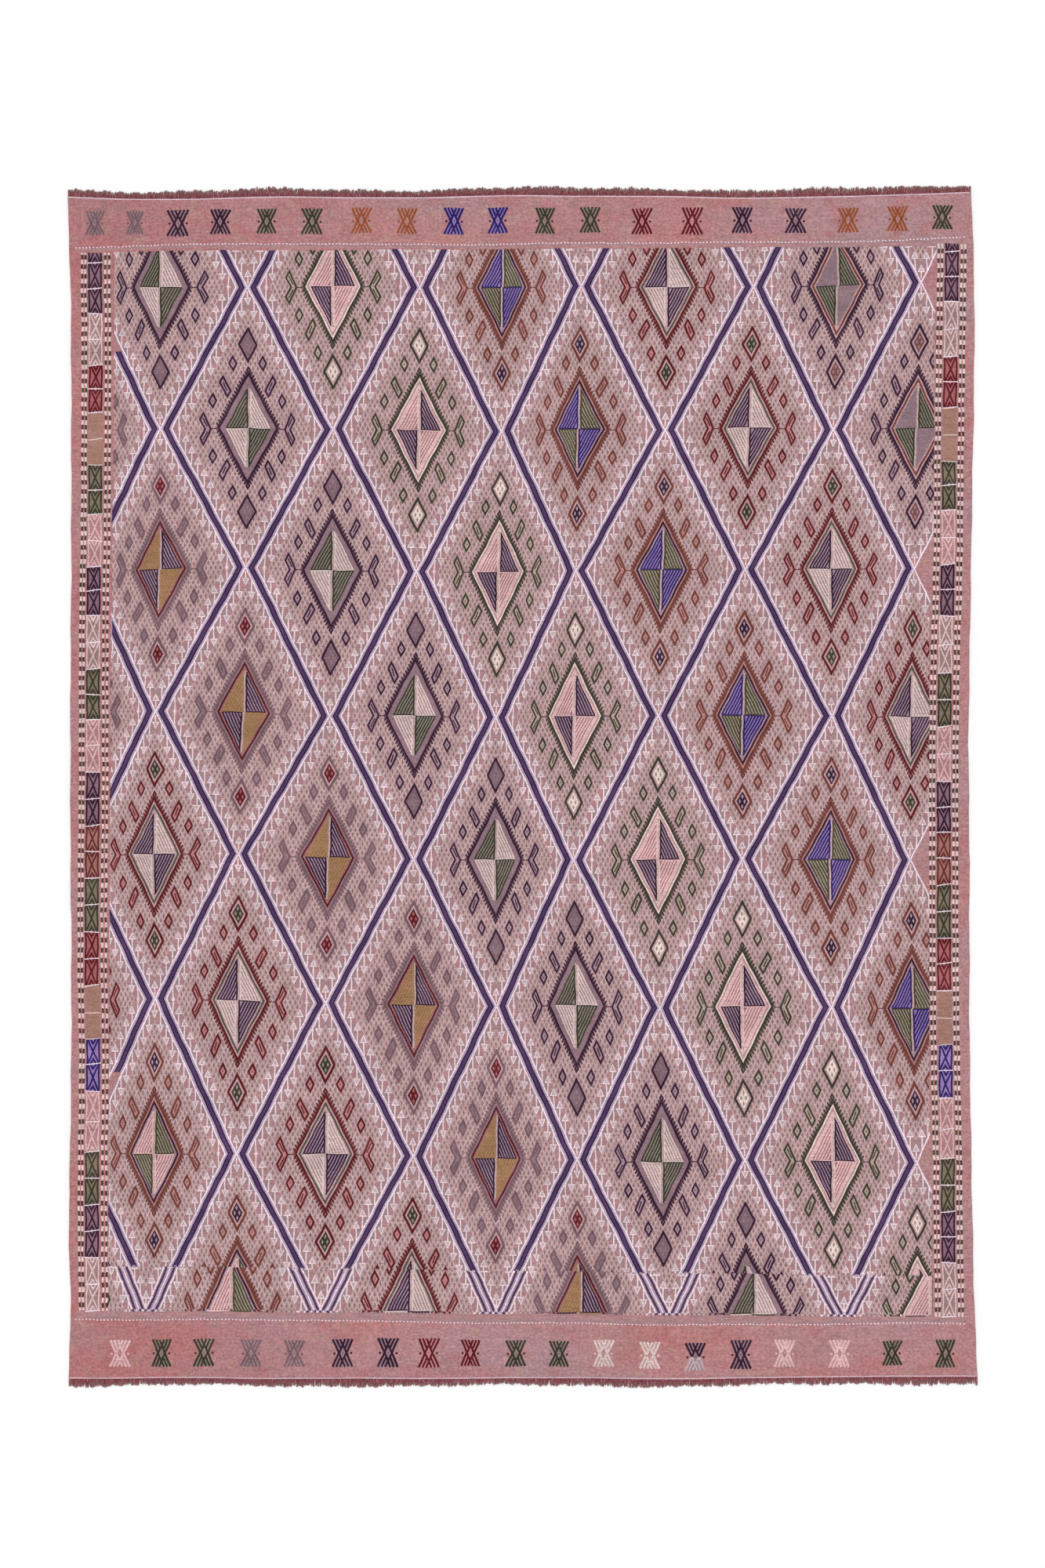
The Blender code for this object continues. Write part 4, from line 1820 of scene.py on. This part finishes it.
def flat_map(mesh, spots):
    """A map straight from above, over the rug's whole reach."""
    layer = mesh.uv_layers.new(name="OFBake")
    corners = np.empty(len(mesh.loops), dtype=np.int64)
    mesh.loops.foreach_get("vertex_index", corners)
    share = spots[corners, :2] / MAP_SIZE + 0.5
    layer.data.foreach_set("uv", share.ravel())


def make_piece(name, spots, faces, material):
    """A mesh object from spots in metres and faces of four, the last spot twice in a triangle."""
    mesh = bpy.data.meshes.new(name)
    rings = faces.tolist()
    rings = [ring[:3] if ring[2] == ring[3] else ring for ring in rings]
    mesh.from_pydata(spots.tolist(), [], rings)
    mesh.materials.append(material)
    flat_map(mesh, spots)
    mesh.shade_smooth()
    piece = bpy.data.objects.new(name, mesh)
    bpy.context.scene.collection.objects.link(piece)
    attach(piece, "root")
    return piece


def on_cloth(spots):
    """Lays spots given as millimetres and height over the cloth on its surface, in metres."""
    surface = lift(spots[:, 0], spots[:, 1]) + CLOTH_THICKNESS
    return np.column_stack([spots[:, :2], surface + spots[:, 2]]) * MM


def rim_depths(length):
    """Distances from one edge to the other, close together near both."""
    near = np.array(RIM_STEPS)
    inner = np.linspace(near[-1], length - near[-1], round(length / CLOTH_STEP))[1:-1]
    return np.concatenate([near, inner, length - near[::-1]])


def cloth_shape():
    width = float(edge("right", 0.0) - edge("left", 0.0))
    length = float(edge("head", 0.0) - edge("foot", 0.0))
    in_across = rim_depths(width)
    in_along = rim_depths(length)
    share_x, share_y = np.meshgrid(in_across / width, in_along / length)
    guess = edge("left", 0.0) + share_x * width
    along = edge("foot", guess) + share_y * (edge("head", guess) - edge("foot", guess))
    left, right = edge("left", along), edge("right", along)
    across = left + share_x * (right - left)
    depth_x = np.minimum(in_across, width - in_across)[None]
    depth_y = np.minimum(in_along, length - in_along)[:, None]
    depth = np.minimum(depth_x, depth_y)
    inside = np.clip(depth / RIM_RADIUS, 0.0, 1.0)
    swell = np.sqrt(1.0 - (1.0 - inside) ** 2) * CLOTH_THICKNESS / 2.0
    ribs = SELVEDGE_RIB * np.cos(2.0 * math.pi * depth_x / SELVEDGE_RIB_PITCH)
    ribbed = (depth_x < RIM_STEPS[-1]) & (depth_y > SELVEDGE_RIB_START) & (depth >= RIM_RADIUS)
    ribs = np.where(ribbed, ribs, 0.0)
    middle = lift(across, along) + CLOTH_THICKNESS / 2.0
    return across, along, middle + swell + ribs, middle - swell


def make_cloth(material):
    across, along, top, bottom = cloth_shape()
    rows, columns = across.shape
    index = np.arange(rows * columns).reshape(rows, columns)
    under = index.copy()
    inner = np.arange((rows - 2) * (columns - 2)).reshape(rows - 2, columns - 2)
    under[1:-1, 1:-1] = rows * columns + inner
    upper = np.stack([across, along, top], axis=2).reshape(-1, 3)
    lower = np.stack([across, along, bottom], axis=2)[1:-1, 1:-1].reshape(-1, 3)
    faces = []
    for grid, flip in ((index, False), (under, True)):
        quads = np.stack([grid[:-1, :-1], grid[:-1, 1:], grid[1:, 1:], grid[1:, :-1]], axis=2)
        quads = quads.reshape(-1, 4)
        faces.append(quads[:, ::-1] if flip else quads)
    spots = np.concatenate([upper, lower]) * MM
    piece = make_piece("cloth", spots, np.concatenate(faces), material)
    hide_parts("kilim_cloth")
    return piece


def end_span(end, inset):
    """The name of an end's edge, and the places across it that lie so far inside its corners."""
    left = float(edge("left", end * END_CORNERS_AT)) + inset
    right = float(edge("right", end * END_CORNERS_AT)) - inset
    return "head" if end > 0 else "foot", left, right


def make_cord(name, end, node, material):
    """The twined row across one end, as slanted twists that lie side by side."""
    side, left, right = end_span(end, CORD_CORNER_INSET)
    across = np.arange(left, right, CORD_TWIST_PITCH)
    along = edge(side, across) - end * CORD_INSET
    slope = np.arctan(np.gradient(along, across))
    angle = slope + CORD_TWIST_ANGLE
    spots, faces = beads(np.column_stack([across, along]), *CORD_TWIST_HALF, angle, CORD_RISE)
    piece = make_piece(name, on_cloth(spots), faces, material)
    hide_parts(node)
    return piece


def fringe_reach(across, end, draw):
    """How far each strand goes beyond the cloth's end, in millimetres."""
    node = "fringe_head" if end > 0 else "fringe_foot"
    low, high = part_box(node)
    farthest = (high.y if end > 0 else -low.y) / MM
    side = "head" if end > 0 else "foot"
    room = farthest - end * edge(side, across)
    swing = FRINGE_LENGTH
    for height, reach, phase in FRINGE_WAVES:
        swing = swing + height * np.sin(across / reach + phase * end)
    clumps = 1.0
    for height, reach, phase in FRINGE_CLUMPS:
        clumps = clumps + height * np.sin(across / reach + phase)
    lengths = swing * clumps * draw.uniform(*STRAND_LENGTHS, len(across))
    share, shortened = SHORT_STRANDS
    short = draw.uniform(0.0, 1.0, len(across)) < share
    return np.minimum(np.where(short, lengths * shortened, lengths), room)


def make_fringe(name, end, node, material):
    """Warp ends as hundreds of thin, slightly crossed strands with three sides."""
    draw = np.random.default_rng(FRINGE_SEED + end)
    side, left, right = end_span(end, STRAND_CORNER_INSET)
    count = STRANDS_PER_END
    stray = draw.uniform(-STRAND_STRAY, STRAND_STRAY, count)
    across = np.clip(np.linspace(left, right, count) + stray, left, right)
    start = edge(side, across) - end * STRAND_START
    lengths = fringe_reach(across, end, draw) + STRAND_START
    lean = draw.normal(0.0, STRAND_LEAN, count)
    curl = draw.normal(0.0, STRAND_CURL, count)
    level, spread = STRAND_BASE
    base = lift(across, start) + level + draw.uniform(-spread, spread, count)
    tip = draw.uniform(*STRAND_TIP, count)
    shares = np.linspace(0.0, 1.0, STRAND_STEPS + 1)
    rings = []
    for share in shares:
        x = across + lean * share + curl * np.sin(share * STRAND_CURL_TURN)
        x = np.clip(x, left - STRAND_CORNER_INSET, right + STRAND_CORNER_INSET)
        y = start + end * lengths * share
        z = base + (tip - base) * share + STRAND_ARCH * np.sin(share * math.pi)
        half = STRAND_HALF[0] + (STRAND_HALF[1] - STRAND_HALF[0]) * share
        for turn in STRAND_TURNS:
            spot_z = np.maximum(z + half * math.sin(turn), STRAND_FLOOR)
            rings.append(np.stack([x + half * math.cos(turn), y, spot_z], axis=1))
    spots = np.stack(rings, axis=1)
    each = spots.shape[1]
    one = []
    for step in range(STRAND_STEPS):
        for corner in range(3):
            a = step * 3 + corner
            b = step * 3 + (corner + 1) % 3
            one.append((a, b, b + 3, a + 3) if end < 0 else (b, a, a + 3, b + 3))
    last = STRAND_STEPS * 3
    one.append((last, last + 1, last + 2, last + 2))
    faces = (np.array(one)[None] + each * np.arange(count)[:, None, None]).reshape(-1, 4)
    piece = make_piece(name, spots.reshape(-1, 3) * MM, faces, material)
    reach = piece.data.attributes.new("reach", "FLOAT", "POINT")
    reach.data.foreach_set("value", np.tile(np.repeat(shares, 3), count))
    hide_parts(node)
    return piece


def make_brocade(brocade):
    pieces = []
    for yarn in sorted(brocade.patches):
        spots, faces = joined(brocade.patches[yarn])
        colour = YARN_COLOURS.get(yarn, yarn)
        wear = WORN_YARNS.get(yarn, USUAL_WEAR)
        material = yarn_material(f"{yarn}_yarn", colour, wear)
        spots = on_cloth(hand_drift(spots))
        pieces.append(make_piece(f"brocade_{yarn}", spots, faces, material))
    return pieces


def make_stage():
    half = FLOOR_SIZE / 2.0
    mesh = bpy.data.meshes.new("floor")
    corners = [(-half, -half, 0.0), (half, -half, 0.0), (half, half, 0.0), (-half, half, 0.0)]
    mesh.from_pydata(corners, [], [(0, 1, 2, 3)])
    mesh.materials.append(floor_material())
    floor = bpy.data.objects.new("floor", mesh)
    bpy.context.scene.collection.objects.link(floor)
    return floor


def make_light():
    world = bpy.data.worlds.new("soft_sky")
    world.use_nodes = True
    sky = world.node_tree.nodes["Background"]
    sky.inputs["Color"].default_value = (1.0, 1.0, 1.0, 1.0)
    sky.inputs["Strength"].default_value = SKY_STRENGTH
    bpy.context.scene.world = world
    sun = bpy.data.lights.new("key", "SUN")
    sun.energy = SUN_STRENGTH
    sun.angle = SUN_SPREAD
    lamp = bpy.data.objects.new("key", sun)
    lamp.rotation_euler = (SUN_TILT[0], SUN_TILT[1], 0.0)
    bpy.context.scene.collection.objects.link(lamp)


def make_camera():
    data = bpy.data.cameras.new("camera")
    data.lens = LENS
    data.sensor_width = SENSOR
    camera = bpy.data.objects.new("camera", data)
    camera.location = (0.0, CAMERA_ALONG, CAMERA_HEIGHT)
    bpy.context.scene.collection.objects.link(camera)
    bpy.context.scene.camera = camera


def main():
    bpy.context.scene.view_settings.view_transform = "Standard"
    make_camera()
    make_light()
    floor = make_stage()

    brocade = Brocade()
    weave_diamonds(brocade)
    weave_bands(brocade)
    weave_columns(brocade)
    weave_ends(brocade)
    pieces = make_brocade(brocade)

    cloth = make_cloth(cloth_material())
    white = yarn_material("cord_yarn", "white")
    wine = fringe_material()
    for label, end in (("head", 1), ("foot", -1)):
        pieces.append(make_cord(f"cord_{label}", end, f"end_cord_{label}", white))
        pieces.append(make_fringe(f"warp_ends_{label}", end, f"fringe_{label}", wine))


main()
